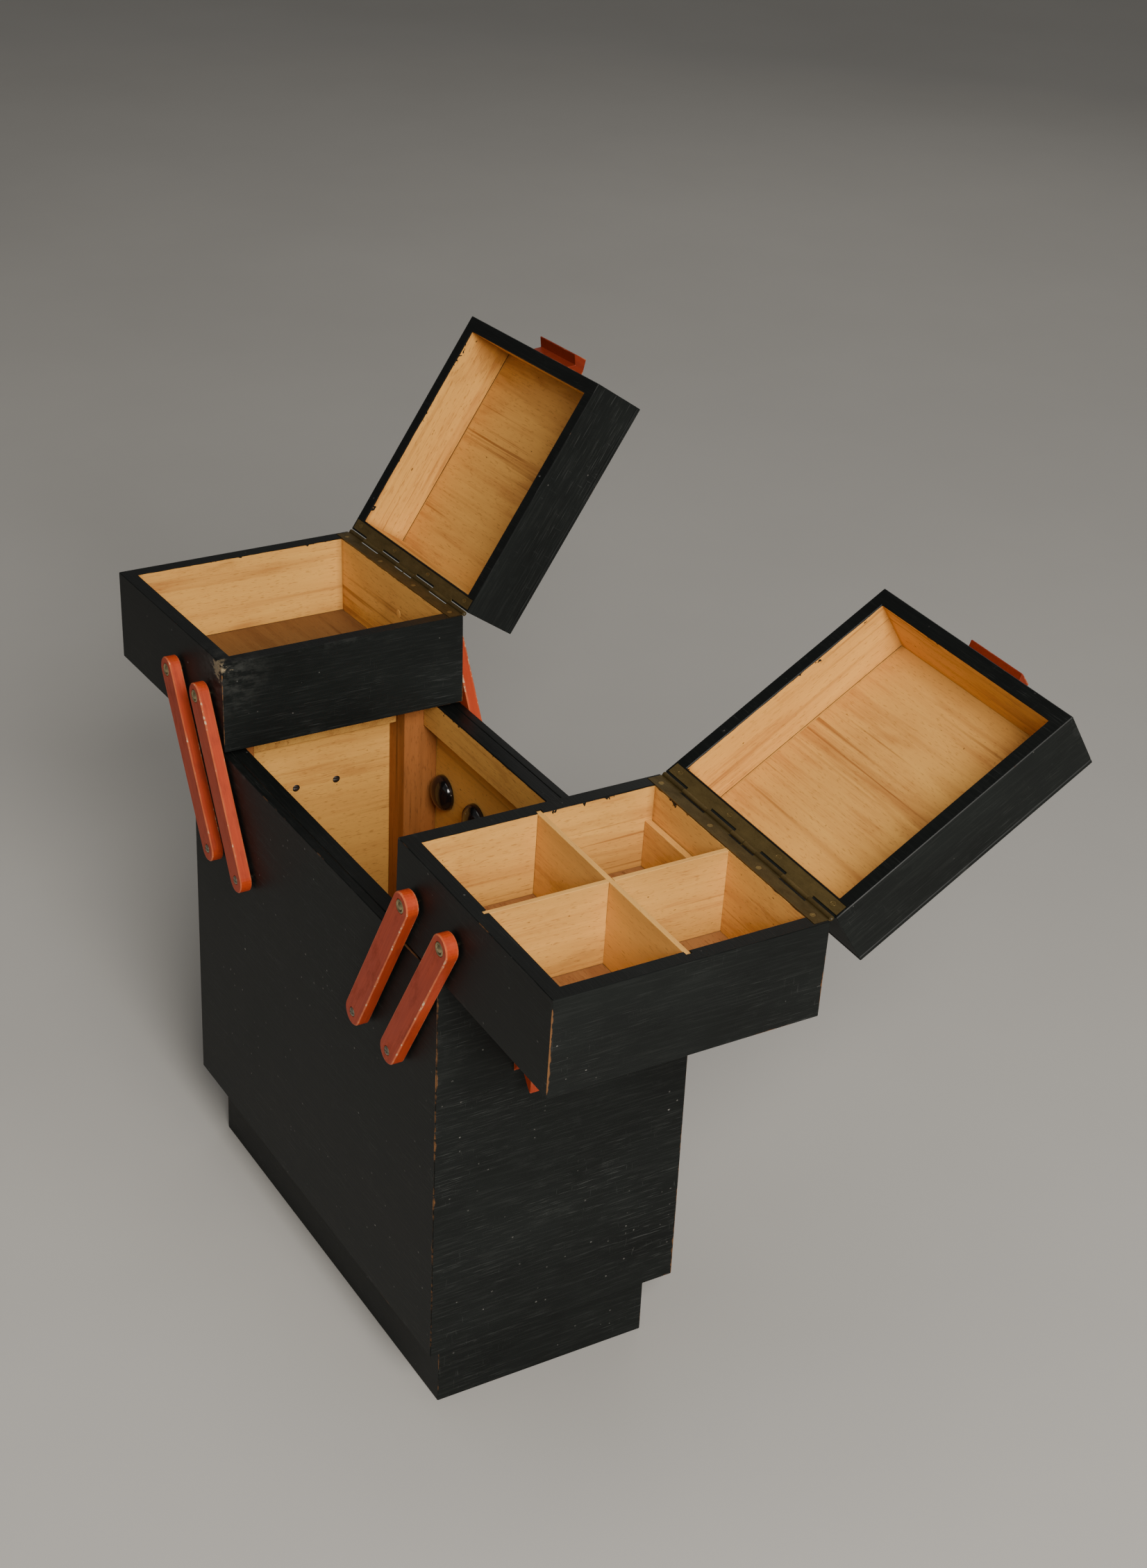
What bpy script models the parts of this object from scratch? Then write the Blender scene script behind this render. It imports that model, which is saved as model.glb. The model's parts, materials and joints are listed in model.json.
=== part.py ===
"""Cantilever sewing box: a chest on a plinth, two trays on swinging arms, and a hinged lid on each tray.

Frame: +Z is up and +X is the way the right tray swings out.  The lids' hinges are on the +Y side.
The origin is on the floor, under the middle of the plinth's front board, which is on the -Y side.
The model stands with both trays swung out and both lids open.  Lengths are in metres.
"""
import math

import bmesh
import bpy
from mathutils import Vector

# ---- clearances ----
TOUCH = 0.0003              # gap between two pieces that touch
SCREW_FIT = 0.0003          # round a screw that grips in its hole
PIVOT_FIT = 0.0004          # round a bolt that an arm turns on
LOOSE_FIT = 0.0008          # round the screw at the top of an arm

# ---- chest ----
CHEST_LENGTH = 0.462
CHEST_WIDTH = 0.230
CHEST_HEIGHT = 0.428        # floor to rim
PANEL = 0.008
PLINTH_HEIGHT = 0.066       # floor to the lower edge of the panels
PLINTH_INSET = 0.017
PLINTH_BOARD = 0.012
BOTTOM_BOARD = 0.006
BOTTOM_RISE = 0.005         # bottom board above the lower edge of the panels
GROOVE = 0.004              # depth that a bottom or a divider is let into a wall
PANEL_GROOVE = 0.003
POST_X = 0.030
POST_Y = 0.033
RAIL_THICK = 0.014
RAIL_HEIGHT = 0.031

# ---- carrying handles ----
HANDLE_LENGTH = 0.095
HANDLE_DEPTH = 0.028
HANDLE_HEIGHT = 0.034
HANDLE_BELOW_RIM = 0.069    # rim to the handle's upper edge
HANDLE_LIP = 0.005          # lip below the handle's edge at the wall
HANDLE_SCREW_SPACING = 0.040
HANDLE_SCREW_DIAMETER = 0.004
HANDLE_SCREW_HEAD = 0.0072
HANDLE_SCREW_SINK = 0.0016
HANDLE_SCREW_BITE = 0.010
HANDLE_SCREW_RISE = 0.0187  # handle's lower edge to its screws

# ---- section of a handle or a pull, as shares of its depth and height ----
GROOVE_OUT = 0.38
GROOVE_UP = 0.38
LIP_START = 0.88
LIP_END = 0.94
NOSE_UP = 0.78
TOP_OUT = 0.22

# ---- trays ----
TRAY_GAP = 0.0008           # between the two trays when they are closed
TRAY_OVERHANG = 0.0018      # past each end of the chest when they are closed
TRAY_HEIGHT = 0.083
WALL = 0.013
FLOOR_BOARD = 0.005
FLOOR_RISE = 0.005
DIVIDER = 0.0045
DIVIDER_BELOW_RIM = 0.0010
LOW_DIVIDER = 0.0055
LOW_DIVIDER_TOP = 0.052     # above the tray's lower edge
LOW_DIVIDER_BACK = 0.0008   # gap behind it

# ---- linkage ----
ARM_LENGTH = 0.161          # pivot to pivot, inner arms
ARM_WIDTH = 0.023
ARM_THICK = 0.0105
ARM_STANDOFF = 0.0025       # wall to arm
FOOT_BELOW_RIM = 0.0946     # chest rim down to the arms' lower pivots
PIVOT_FROM_END = 0.0312     # tray's inner end to the inner arms' upper pivots
PIVOT_SPACING = 0.0625      # inner to outer upper pivots
PIVOT_HEIGHT = 0.0437       # tray's lower edge to the upper pivots
DROOP = math.radians(2.1)   # how far a swung-out tray tips down at its outer end

# ---- pivot fasteners ----
BOLT_DIAMETER = 0.006
BOLT_HEAD = 0.0080
PIVOT_SCREW_DIAMETER = 0.005
PIVOT_SCREW_HEAD = 0.0064
PIVOT_SCREW_BITE = 0.0095
PIVOT_SLOT = 0.0010
PIVOT_SLOT_DEPTH = 0.0008
HEAD_HEIGHT = 0.0018
HEAD_SINK = 0.0012          # counterbore in the arm's face
HEAD_CROWN = 0.6            # share of a head's width that is flat on top
HEAD_SHOULDER = 0.45        # share of a head's height below its chamfer
RING_DIAMETER = 0.0116
RING_HEIGHT = 0.0014
RING_FLOOR = 0.0005         # arm to the bottom of the groove between ring and head
CAP_DIAMETER = 0.034
CAP_HEIGHT = 0.0125
CAP_SKIRT = 0.002

# ---- lids ----
LID_HEIGHT = 0.053
LID_TOP = 0.004
LID_GAP = 0.0006
LEFT_LID_OPEN = math.radians(124)
RIGHT_LID_OPEN = math.radians(148)

# ---- lid pulls ----
PULL_LENGTH = 0.063
PULL_DEPTH = 0.015
PULL_HEIGHT = 0.0185
PULL_RISE = 0.0205          # lid rim to the pull's lower edge at the wall
PULL_LIP = -0.001           # lip below that edge

# ---- hinges ----
HINGE_END_GAP = 0.0025      # end of the tray to the end of its hinge
HINGE_MIDDLE_GAP = 0.0008   # between the two short knuckles at its middle
KNUCKLE = 0.034             # length of a whole knuckle
KNUCKLE_SHORTEST = 0.011    # the shortest knuckle at the hinge's ends
KNUCKLE_GAP = 0.0004
KNUCKLE_RADIUS = 0.0021
PIN_RADIUS = 0.0009
PIN_FIT = 0.0003
BARREL_GAP = 0.0004         # wall to barrel
LEAF = 0.0010
LEAF_MARGIN_TRAY = 0.0004   # leaf to the inner edge of the rim
LEAF_MARGIN_LID = 0.0018
NOTCH_BEHIND_BARREL = 0.0022
HINGE_SCREW_HEAD = 0.0052
HINGE_SCREW_DIAMETER = 0.0024
HINGE_SCREW_INSET = 0.0068  # wall's outer face to the row of screws
HINGE_SCREW_FROM_END = 0.0105
HINGE_SCREW_PITCH = 0.070
HINGE_SCREWS = 2            # in each half of a leaf

EDGE = 0.0006               # eased edges of the boards
ARM_EDGE = 0.0008
ROUND = 20                  # sides of a round piece
HOLE_SIDES = 16             # sides of a hole or a hinge tube
PIN_SIDES = 12
ARM_STEPS = 14              # straight stretches of an arm's round end
DOME_STEPS = 5

# ---- worked out ----
HALF_LENGTH = CHEST_LENGTH / 2
HALF_WIDTH = CHEST_WIDTH / 2
TRAY_LENGTH = (CHEST_LENGTH - TRAY_GAP) / 2 + TRAY_OVERHANG
TRAY_WIDTH = CHEST_WIDTH
CHEST_CENTRE_Y = HALF_WIDTH - PLINTH_INSET - PLINTH_BOARD / 2
FOOT_Z = CHEST_HEIGHT - FOOT_BELOW_RIM
AXIS_OUT = BARREL_GAP + KNUCKLE_RADIUS
AXIS_UP = LID_GAP / 2
ARM_FACE = HALF_WIDTH + ARM_STANDOFF + ARM_THICK
SIDES = {"left": -1, "right": 1}
ENDS = {"front": -1, "back": 1}
LID_OPEN = {"left": LEFT_LID_OPEN, "right": RIGHT_LID_OPEN}


def linkage():
    """Angles and pivots of the right side's four-bar: the tray is level closed and tips by DROOP open."""
    lean_closed = math.acos((FOOT_BELOW_RIM + TOUCH + PIVOT_HEIGHT) / ARM_LENGTH)
    inner_foot = TRAY_GAP / 2 + PIVOT_FROM_END + ARM_LENGTH * math.sin(lean_closed)
    reach = PIVOT_HEIGHT + TOUCH + (HALF_LENGTH - inner_foot) * math.sin(DROOP)
    reach += FOOT_BELOW_RIM * math.cos(DROOP)
    lean_open = DROOP + math.acos(reach / ARM_LENGTH)
    inner_open = Vector((inner_foot + ARM_LENGTH * math.sin(lean_open), 0.0,
                         FOOT_Z + ARM_LENGTH * math.cos(lean_open)))
    outer_open = inner_open + PIVOT_SPACING * Vector((math.cos(DROOP), 0.0, -math.sin(DROOP)))
    outer_closed = Vector((inner_foot - ARM_LENGTH * math.sin(lean_closed) + PIVOT_SPACING, 0.0,
                           FOOT_Z + ARM_LENGTH * math.cos(lean_closed)))
    middle = (outer_open + outer_closed) / 2
    chord = outer_open - outer_closed
    outer_foot = middle.x - (FOOT_Z - middle.z) * chord.z / chord.x
    outer_arm = outer_open - Vector((outer_foot, 0.0, FOOT_Z))
    outer_lean = math.atan2(outer_arm.x, outer_arm.z)
    return {
        "inner": {"foot": inner_foot, "length": ARM_LENGTH, "lean": lean_open},
        "outer": {"foot": outer_foot, "length": outer_arm.length, "lean": outer_lean},
        "tray_pivot": inner_open,
    }


LINKAGE = linkage()


# ---- helpers ----
def clear_scene():
    for item in list(bpy.data.objects):
        bpy.data.objects.remove(item, do_unlink=True)


def material(name, colour, roughness, metallic=0.0):
    made = bpy.data.materials.new(name)
    made.use_nodes = True
    shader = made.node_tree.nodes["Principled BSDF"]
    shader.inputs["Base Color"].default_value = (*colour, 1.0)
    shader.inputs["Roughness"].default_value = roughness
    shader.inputs["Metallic"].default_value = metallic
    return made


def empty(name, location, rotation=(0.0, 0.0, 0.0), parent=None):
    frame = bpy.data.objects.new(name, None)
    frame.location = location
    frame.rotation_euler = rotation
    frame.parent = parent
    bpy.context.scene.collection.objects.link(frame)
    return frame


def add_object(name, mesh, parent, finish=None, location=(0.0, 0.0, 0.0), rotation=(0.0, 0.0, 0.0)):
    made = bpy.data.objects.new(name, mesh)
    made.location = location
    made.rotation_euler = rotation
    made.parent = parent
    if finish:
        mesh.materials.append(finish)
    bpy.context.scene.collection.objects.link(made)
    return made


def mesh_from(name, bm):
    bmesh.ops.recalc_face_normals(bm, faces=bm.faces)
    mesh = bpy.data.meshes.new(name)
    bm.to_mesh(mesh)
    bm.free()
    return mesh


def add_box(bm, low, high):
    low = Vector(low)
    high = Vector(high)
    made = bmesh.ops.create_cube(bm, size=1.0)["verts"]
    bmesh.ops.scale(bm, vec=high - low, verts=made)
    bmesh.ops.translate(bm, vec=(low + high) / 2, verts=made)


def add_turned(bm, profile, start, axis, sides=ROUND):
    """A closed turned solid: profile is (distance along the axis, radius) and ends on the axis."""
    turn = Vector((0.0, 0.0, 1.0)).rotation_difference(Vector(axis)).to_matrix()
    rings = []
    for along, radius in profile:
        if radius == 0.0:
            rings.append([bm.verts.new(turn @ Vector((0.0, 0.0, along)) + Vector(start))])
            continue
        loop = []
        for step in range(sides):
            angle = 2 * math.pi * step / sides
            point = Vector((radius * math.cos(angle), radius * math.sin(angle), along))
            loop.append(bm.verts.new(turn @ point + Vector(start)))
        rings.append(loop)
    for low, high in zip(rings, rings[1:]):
        for step in range(sides):
            after = (step + 1) % sides
            corners = [low[step % len(low)], low[after % len(low)]]
            corners += [high[after % len(high)], high[step % len(high)]]
            bm.faces.new(list(dict.fromkeys(corners)))


def ease(target, width=EDGE, segments=1):
    bevel = target.modifiers.new("eased edges", "BEVEL")
    bevel.width = width
    bevel.segments = segments
    bevel.limit_method = "ANGLE"
    bevel.angle_limit = math.radians(40)


def cut(target, *cutters):
    for cutter in cutters:
        boolean = target.modifiers.new(cutter.name, "BOOLEAN")
        boolean.operation = "DIFFERENCE"
        boolean.solver = "EXACT"
        boolean.object = cutter


def cutter_from(name, bm, parent):
    made = add_object(name, mesh_from(name, bm), parent)
    made.hide_render = True
    made.display_type = "WIRE"
    return made


def box_cutter(name, low, high, parent):
    bm = bmesh.new()
    add_box(bm, low, high)
    return cutter_from(name, bm, parent)


def board(name, low, high, parent, finish, eased=EDGE):
    bm = bmesh.new()
    add_box(bm, low, high)
    made = add_object(name, mesh_from(name, bm), parent, finish)
    if eased:
        ease(made, eased)
    return made


def grown(low, high, by):
    step = Vector((by, by, by))
    return Vector(low) - step, Vector(high) + step


def mitred_wall(name, face, finish, parent):
    """One wall of the chest, whose corners are mitred; face is the wall's outward direction."""
    bm = bmesh.new()
    shrink = TOUCH / math.sqrt(2)
    across = Vector((-face[1], face[0], 0.0))
    outward = Vector((face[0], face[1], 0.0))
    reach_out = HALF_LENGTH if face[0] else HALF_WIDTH
    reach_side = HALF_WIDTH if face[0] else HALF_LENGTH
    corners = []
    for depth in (0.0, PANEL):
        for side in (-1, 1):
            for z in (PLINTH_HEIGHT, CHEST_HEIGHT):
                sideways = side * (reach_side - depth - shrink)
                spot = outward * (reach_out - depth) + across * sideways
                corners.append(bm.verts.new((spot.x, spot.y, z)))
    for loop in ((0, 1, 3, 2), (4, 6, 7, 5), (0, 2, 6, 4), (1, 5, 7, 3), (0, 4, 5, 1), (2, 3, 7, 6)):
        bm.faces.new([corners[index] for index in loop])
    made = add_object(name, mesh_from(name, bm), parent, finish)
    ease(made)
    return made


def ring(name, centre, half_x, half_y, thick, low_z, high_z, parent, finish):
    """Four boards glued into a rectangular frame, open above and below."""
    bm = bmesh.new()
    loops = []
    for inset, z in ((0.0, low_z), (0.0, high_z), (thick, high_z), (thick, low_z)):
        loop = []
        for side_x, side_y in ((-1, -1), (1, -1), (1, 1), (-1, 1)):
            x = centre[0] + side_x * (half_x - inset)
            y = centre[1] + side_y * (half_y - inset)
            loop.append(bm.verts.new((x, y, z)))
        loops.append(loop)
    for loop, follower in zip(loops, loops[1:] + loops[:1]):
        for corner in range(4):
            after = (corner + 1) % 4
            bm.faces.new((loop[corner], loop[after], follower[after], follower[corner]))
    made = add_object(name, mesh_from(name, bm), parent, finish)
    ease(made)
    return made


# ---- materials ----
def make_materials():
    return {
        "black": material("black_paint", (0.018, 0.021, 0.021), 0.45),
        "wood": material("bare_birch", (0.62, 0.36, 0.14), 0.55),
        "post": material("bare_pine", (0.42, 0.17, 0.06), 0.55),
        "red": material("red_paint", (0.42, 0.065, 0.025), 0.42),
        "brass": material("aged_brass", (0.20, 0.16, 0.07), 0.38, 0.9),
        "steel": material("aged_steel", (0.32, 0.29, 0.22), 0.35, 1.0),
        "cap": material("black_enamel", (0.008, 0.008, 0.008), 0.12),
    }


# ---- chest ----
def chest_body(frame, finish):
    """Four mitred panels with a bottom board let into them, the frame inside them and the plinth."""
    faces = {"front": (0, -1), "back": (0, 1), "left": (-1, 0), "right": (1, 0)}
    walls = {}
    for place, face in faces.items():
        walls[place] = mitred_wall("chest_" + place + "_wall", face, finish["black"], frame)
    base = PLINTH_HEIGHT + BOTTOM_RISE
    top = base + BOTTOM_BOARD
    half_x = HALF_LENGTH - PANEL + PANEL_GROOVE
    half_y = HALF_WIDTH - PANEL + PANEL_GROOVE
    low = (-half_x, -half_y, base)
    high = (half_x, half_y, top)
    board("chest_bottom", low, high, frame, finish["wood"], 0)
    groove = box_cutter("bottom_groove", *grown(low, high, TOUCH), frame)
    for wall in walls.values():
        cut(wall, groove)

    inner_frame(frame, top + TOUCH, finish)
    half_x = HALF_LENGTH - PLINTH_INSET
    half_y = HALF_WIDTH - PLINTH_INSET
    ring("plinth_frame", (0, 0, 0), half_x, half_y, PLINTH_BOARD, 0.0, base - TOUCH, frame, finish["black"])
    return walls


def inner_frame(frame, base, finish):
    """Posts in the corners from the bottom board to the rim, and rails between them under the rim."""
    inside_x = HALF_LENGTH - PANEL - TOUCH
    inside_y = HALF_WIDTH - PANEL - TOUCH
    for side_name, side in SIDES.items():
        for end_name, end in ENDS.items():
            across_x = sorted((side * (inside_x - POST_X), side * inside_x))
            across_y = sorted((end * (inside_y - POST_Y), end * inside_y))
            board(side_name + "_" + end_name + "_post", (across_x[0], across_y[0], base),
                  (across_x[1], across_y[1], CHEST_HEIGHT), frame, finish["post"])
    low = CHEST_HEIGHT - RAIL_HEIGHT
    long_half = inside_x - POST_X - TOUCH
    short_half = inside_y - POST_Y - TOUCH
    for name, end in ENDS.items():
        across = sorted((end * (inside_y - RAIL_THICK), end * inside_y))
        board(name + "_rail", (-long_half, across[0], low), (long_half, across[1], CHEST_HEIGHT),
              frame, finish["wood"])
    for name, side in SIDES.items():
        across = sorted((side * (inside_x - RAIL_THICK), side * inside_x))
        board(name + "_rail", (across[0], -short_half, low), (across[1], short_half, CHEST_HEIGHT),
              frame, finish["wood"])


def grip_outline(depth, height, lip):
    """Section of a handle or a pull, as (out from the wall, up): a groove for fingers under a lip."""
    return [(0.0, 0.0), (depth * GROOVE_OUT, height * GROOVE_UP), (depth * LIP_START, -lip),
            (depth * LIP_END, -lip), (depth, height * NOSE_UP), (depth * TOP_OUT, height), (0.0, height)]


def grip(name, length, depth, height, lip, base, out, centre, parent, finish):
    """A grooved strip along the wall that it is fixed to; out is the wall's outward direction."""
    out = Vector((*out, 0.0))
    along = Vector((-out.y, out.x, 0.0))
    bm = bmesh.new()
    sections = []
    for end in (-0.5, 0.5):
        section = []
        for away, up in grip_outline(depth, height, lip):
            spot = Vector(centre) + out * (away + TOUCH) + along * end * length
            section.append(bm.verts.new((spot.x, spot.y, base + up)))
        sections.append(section)
        bm.faces.new(section)
    first, last = sections
    for index in range(len(first)):
        after = (index + 1) % len(first)
        bm.faces.new((first[index], first[after], last[after], last[index]))
    made = add_object(name, mesh_from(name, bm), parent, finish)
    ease(made, ARM_EDGE / 2)
    return made


def carrying_handles(frame, walls, finish):
    """A handle on each end of the chest, with sunk screw holes through the wall behind it."""
    base = CHEST_HEIGHT - HANDLE_BELOW_RIM - HANDLE_HEIGHT
    screw_z = base + HANDLE_SCREW_RISE
    for name, side in SIDES.items():
        face = side * HALF_LENGTH
        handle = grip(name + "_handle", HANDLE_LENGTH, HANDLE_DEPTH, HANDLE_HEIGHT, HANDLE_LIP, base,
                      (side, 0), (face, 0.0, 0.0), frame, finish["red"])
        holes = bmesh.new()
        for end in (-0.5, 0.5):
            start = (face - side * (PANEL + TOUCH), end * HANDLE_SCREW_SPACING, screw_z)
            hole = HANDLE_SCREW_DIAMETER / 2
            head = HANDLE_SCREW_HEAD / 2
            deep = PANEL + HANDLE_SCREW_BITE
            cone = HANDLE_SCREW_SINK + head - hole
            add_turned(holes, [(0.0, 0.0), (0.0, head), (HANDLE_SCREW_SINK, head), (cone, hole), (deep, hole),
                               (deep, 0.0)], start, (side, 0.0, 0.0), HOLE_SIDES)
        holes = cutter_from(name + "_handle_screw_holes", holes, frame)
        cut(handle, holes)
        cut(walls[name], holes)


# ---- linkage ----
def bolt_profile():
    """Head, shank and the domed cap nut that closes it, as one turned outline from the outside inwards."""
    radius = BOLT_DIAMETER / 2
    head = BOLT_HEAD / 2
    inside = ARM_FACE - HEAD_SINK + TOUCH - (HALF_WIDTH - PANEL) + TOUCH
    profile = [(-HEAD_HEIGHT, 0.0), (-HEAD_HEIGHT, head * HEAD_CROWN), (-HEAD_HEIGHT * HEAD_SHOULDER, head),
               (0.0, head), (0.0, radius), (inside, radius), (inside, CAP_DIAMETER / 2)]
    for step in range(DOME_STEPS):
        angle = math.pi / 2 * step / DOME_STEPS
        along = CAP_SKIRT + (CAP_HEIGHT - CAP_SKIRT) * math.sin(angle)
        profile.append((inside + along, CAP_DIAMETER / 2 * math.cos(angle)))
    profile.append((inside + CAP_HEIGHT, 0.0))
    return profile


def chest_pivots(frame, walls, finish):
    """Bolts that carry the arms' lower ends, each with a domed cap nut inside the chest."""
    holes = bmesh.new()
    radius = BOLT_DIAMETER / 2 + SCREW_FIT
    depth = PANEL + 2 * TOUCH
    for side_name, side in SIDES.items():
        for bar in ("inner", "outer"):
            for end_name, end in ENDS.items():
                x = side * LINKAGE[bar]["foot"]
                axis = (0.0, -end, 0.0)
                name = side_name + "_" + bar + "_" + end_name + "_bolt"
                bm = bmesh.new()
                add_turned(bm, bolt_profile(), (x, end * (ARM_FACE - HEAD_SINK + TOUCH), FOOT_Z), axis)
                bolt = add_object(name, mesh_from(name, bm), frame, finish["cap"])
                smooth(bolt)
                add_turned(holes, [(0.0, 0.0), (0.0, radius), (depth, radius), (depth, 0.0)],
                           (x, end * (HALF_WIDTH + TOUCH), FOOT_Z), axis, HOLE_SIDES)
    holes = cutter_from("chest_pivot_holes", holes, frame)
    cut(walls["front"], holes)
    cut(walls["back"], holes)


def smooth(*targets):
    for target in targets:
        target.data.shade_smooth()
        target.data.set_sharp_from_angle(angle=math.radians(35))


def arm_mesh(length, end):
    """A flat bar with round ends; its lower pivot is the origin and its upper one is at +Z."""
    bm = bmesh.new()
    radius = ARM_WIDTH / 2
    outline = []
    for centre, first in ((0.0, math.pi), (length, 0.0)):
        for step in range(ARM_STEPS + 1):
            angle = first + math.pi * step / ARM_STEPS
            outline.append((radius * math.cos(angle), centre + radius * math.sin(angle)))
    near = sorted((end * (HALF_WIDTH + ARM_STANDOFF), end * ARM_FACE))
    front = [bm.verts.new((x, near[0], z)) for x, z in outline]
    back = [bm.verts.new((x, near[1], z)) for x, z in outline]
    bm.faces.new(front)
    bm.faces.new(back)
    for index in range(len(outline)):
        after = (index + 1) % len(outline)
        bm.faces.new((front[index], front[after], back[after], back[index]))
    return mesh_from("arm", bm)


def arm_bores(length, end):
    """Cutters for both pivots of an arm, with counterbores for the heads in its outer face."""
    bm = bmesh.new()
    axis = (0.0, -end, 0.0)
    through = ARM_THICK + 2 * TOUCH
    lower = BOLT_DIAMETER / 2 + PIVOT_FIT
    upper = PIVOT_SCREW_DIAMETER / 2 + LOOSE_FIT
    for z, bore, wide in ((0.0, lower, BOLT_HEAD / 2), (length, upper, RING_DIAMETER / 2)):
        wide += PIVOT_FIT
        start = (0.0, end * (ARM_FACE + TOUCH), z)
        sink = HEAD_SINK + TOUCH
        add_turned(bm, [(0.0, 0.0), (0.0, wide), (sink, wide), (sink, bore), (through, bore), (through, 0.0)],
                   start, axis)
    return bm


def arms(frame, finish):
    for side_name, side in SIDES.items():
        for bar in ("inner", "outer"):
            for end_name, end in ENDS.items():
                link = LINKAGE[bar]
                name = side_name + "_" + bar + "_" + end_name + "_arm"
                arm = add_object(name, arm_mesh(link["length"], end), frame, finish["red"],
                                 (side * link["foot"], 0.0, FOOT_Z), (0.0, side * link["lean"], 0.0))
                ease(arm, ARM_EDGE)
                cut(arm, cutter_from(name + "_bores", arm_bores(link["length"], end), arm))


def tray_pivots(side_name, side, frame, box, finish):
    """Screws that carry a tray on its arms, each with a brass ring round its slotted head."""
    holes = bmesh.new()
    radius = PIVOT_SCREW_DIAMETER / 2
    head = PIVOT_SCREW_HEAD / 2
    groove = head + PIVOT_FIT
    edge = RING_DIAMETER / 2
    face = ARM_FACE - HEAD_SINK + TOUCH
    length = face - HALF_WIDTH + PIVOT_SCREW_BITE
    profile = [(-HEAD_HEIGHT, 0.0), (-HEAD_HEIGHT, head * HEAD_CROWN), (-HEAD_HEIGHT * HEAD_SHOULDER, head),
               (-RING_FLOOR, head), (-RING_FLOOR, groove), (-RING_HEIGHT, groove),
               (-RING_HEIGHT, edge - EDGE), (-RING_HEIGHT + EDGE, edge), (0.0, edge), (0.0, radius),
               (length - radius, radius), (length, 0.0)]
    wide = radius + SCREW_FIT
    depth = PIVOT_SCREW_BITE + 2 * TOUCH
    for bar, x in (("inner", 0.0), ("outer", PIVOT_SPACING)):
        for end_name, end in ENDS.items():
            axis = (0.0, -end, 0.0)
            spot = Vector((side * x, end * face, 0.0))
            name = side_name + "_" + bar + "_" + end_name + "_screw"
            bm = bmesh.new()
            add_turned(bm, profile, spot, axis)
            screw = add_object(name, mesh_from(name, bm), frame, finish["brass"])
            smooth(screw)
            top = spot + Vector((0.0, end * HEAD_HEIGHT, 0.0))
            half = Vector((head, PIVOT_SLOT_DEPTH, PIVOT_SLOT / 2))
            cut(screw, box_cutter(name + "_slot", top - half, top + half, frame))
            add_turned(holes, [(0.0, 0.0), (0.0, wide), (depth, wide), (depth, 0.0)],
                       (spot.x, end * (HALF_WIDTH + TOUCH), 0.0), axis, HOLE_SIDES)
    cut(box, cutter_from(side_name + "_screw_holes", holes, frame))


# ---- trays ----
def tray(side_name, frame, finish):
    """An open box with a floor let into it; its frame's origin is the inner arms' upper pivot axis."""
    side = SIDES[side_name]
    pivot = LINKAGE["tray_pivot"]
    spot = (side * pivot.x, 0.0, pivot.z)
    hold = empty(side_name + "_tray_frame", spot, (0.0, side * DROOP, 0.0), frame)
    centre = (side * (TRAY_LENGTH / 2 - PIVOT_FROM_END), 0.0, 0.0)
    low_z = -PIVOT_HEIGHT
    high_z = low_z + TRAY_HEIGHT
    prefix = side_name + "_tray_"
    box = ring(prefix + "box", centre, TRAY_LENGTH / 2, TRAY_WIDTH / 2, WALL, low_z, high_z,
               hold, finish["black"])
    half_x = TRAY_LENGTH / 2 - WALL
    half_y = TRAY_WIDTH / 2 - WALL
    reach = Vector((half_x + GROOVE, half_y + GROOVE, 0.0))
    low = Vector(centre) - reach
    high = Vector(centre) + reach
    low.z = low_z + FLOOR_RISE
    high.z = low.z + FLOOR_BOARD
    board(prefix + "floor", low, high, hold, finish["wood"], 0)
    groove = box_cutter(prefix + "groove", *grown(low, high, TOUCH), hold)
    cut(box, groove)
    tray_pivots(side_name, side, hold, box, finish)
    if side_name == "right":
        dividers(hold, centre, half_x, half_y, high.z + TOUCH, high_z - DIVIDER_BELOW_RIM, box, finish)
    lid_hinge = (centre[0], HALF_WIDTH + AXIS_OUT, high_z + AXIS_UP)
    lid_frame = empty(side_name + "_lid_frame", lid_hinge, (-LID_OPEN[side_name], 0.0, 0.0), hold)
    lid_box = lid(side_name, lid_frame, finish)
    hinge(side_name, hold, lid_frame, lid_hinge, box, lid_box, finish)


def dividers(frame, centre, half_x, half_y, low_z, high_z, box, finish):
    """A long and a cross divider, halved together and let into the walls, and a low one at the back."""
    half = DIVIDER / 2
    reach_x = half_x + GROOVE
    reach_y = half_y + GROOVE
    cx = centre[0]
    long_low = (cx - reach_x, -half, low_z)
    long_high = (cx + reach_x, half, high_z)
    cross_low = (cx - half, -reach_y, low_z)
    cross_high = (cx + half, reach_y - TOUCH, high_z)
    long_board = board("long_divider", long_low, long_high, frame, finish["wood"], EDGE / 2)
    cross_board = board("cross_divider", cross_low, cross_high, frame, finish["wood"], EDGE / 2)
    middle = (low_z + high_z) / 2
    gap = half + TOUCH
    upper = box_cutter("halving_top", (cx - gap, -gap, middle - TOUCH / 2),
                       (cx + gap, gap, high_z + WALL), frame)
    lower = box_cutter("halving_base", (cx - gap, -gap, low_z - WALL),
                       (cx + gap, gap, middle + TOUCH / 2), frame)
    cut(cross_board, upper)
    cut(long_board, lower)
    above = Vector((0.0, 0.0, WALL))
    long_low, long_high = grown(long_low, long_high, TOUCH)
    cross_low, cross_high = grown(cross_low, cross_high, TOUCH)
    cut(box, box_cutter("long_divider_slot", long_low, long_high + above, frame))
    cut(box, box_cutter("cross_divider_slot", cross_low, cross_high + above, frame))
    back = half_y - LOW_DIVIDER_BACK
    top = LOW_DIVIDER_TOP - PIVOT_HEIGHT
    low = (cx - half_x + TOUCH, back - LOW_DIVIDER, low_z)
    high = (cx - half - TOUCH, back, top)
    board("low_divider", low, high, frame, finish["wood"], EDGE / 2)


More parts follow.
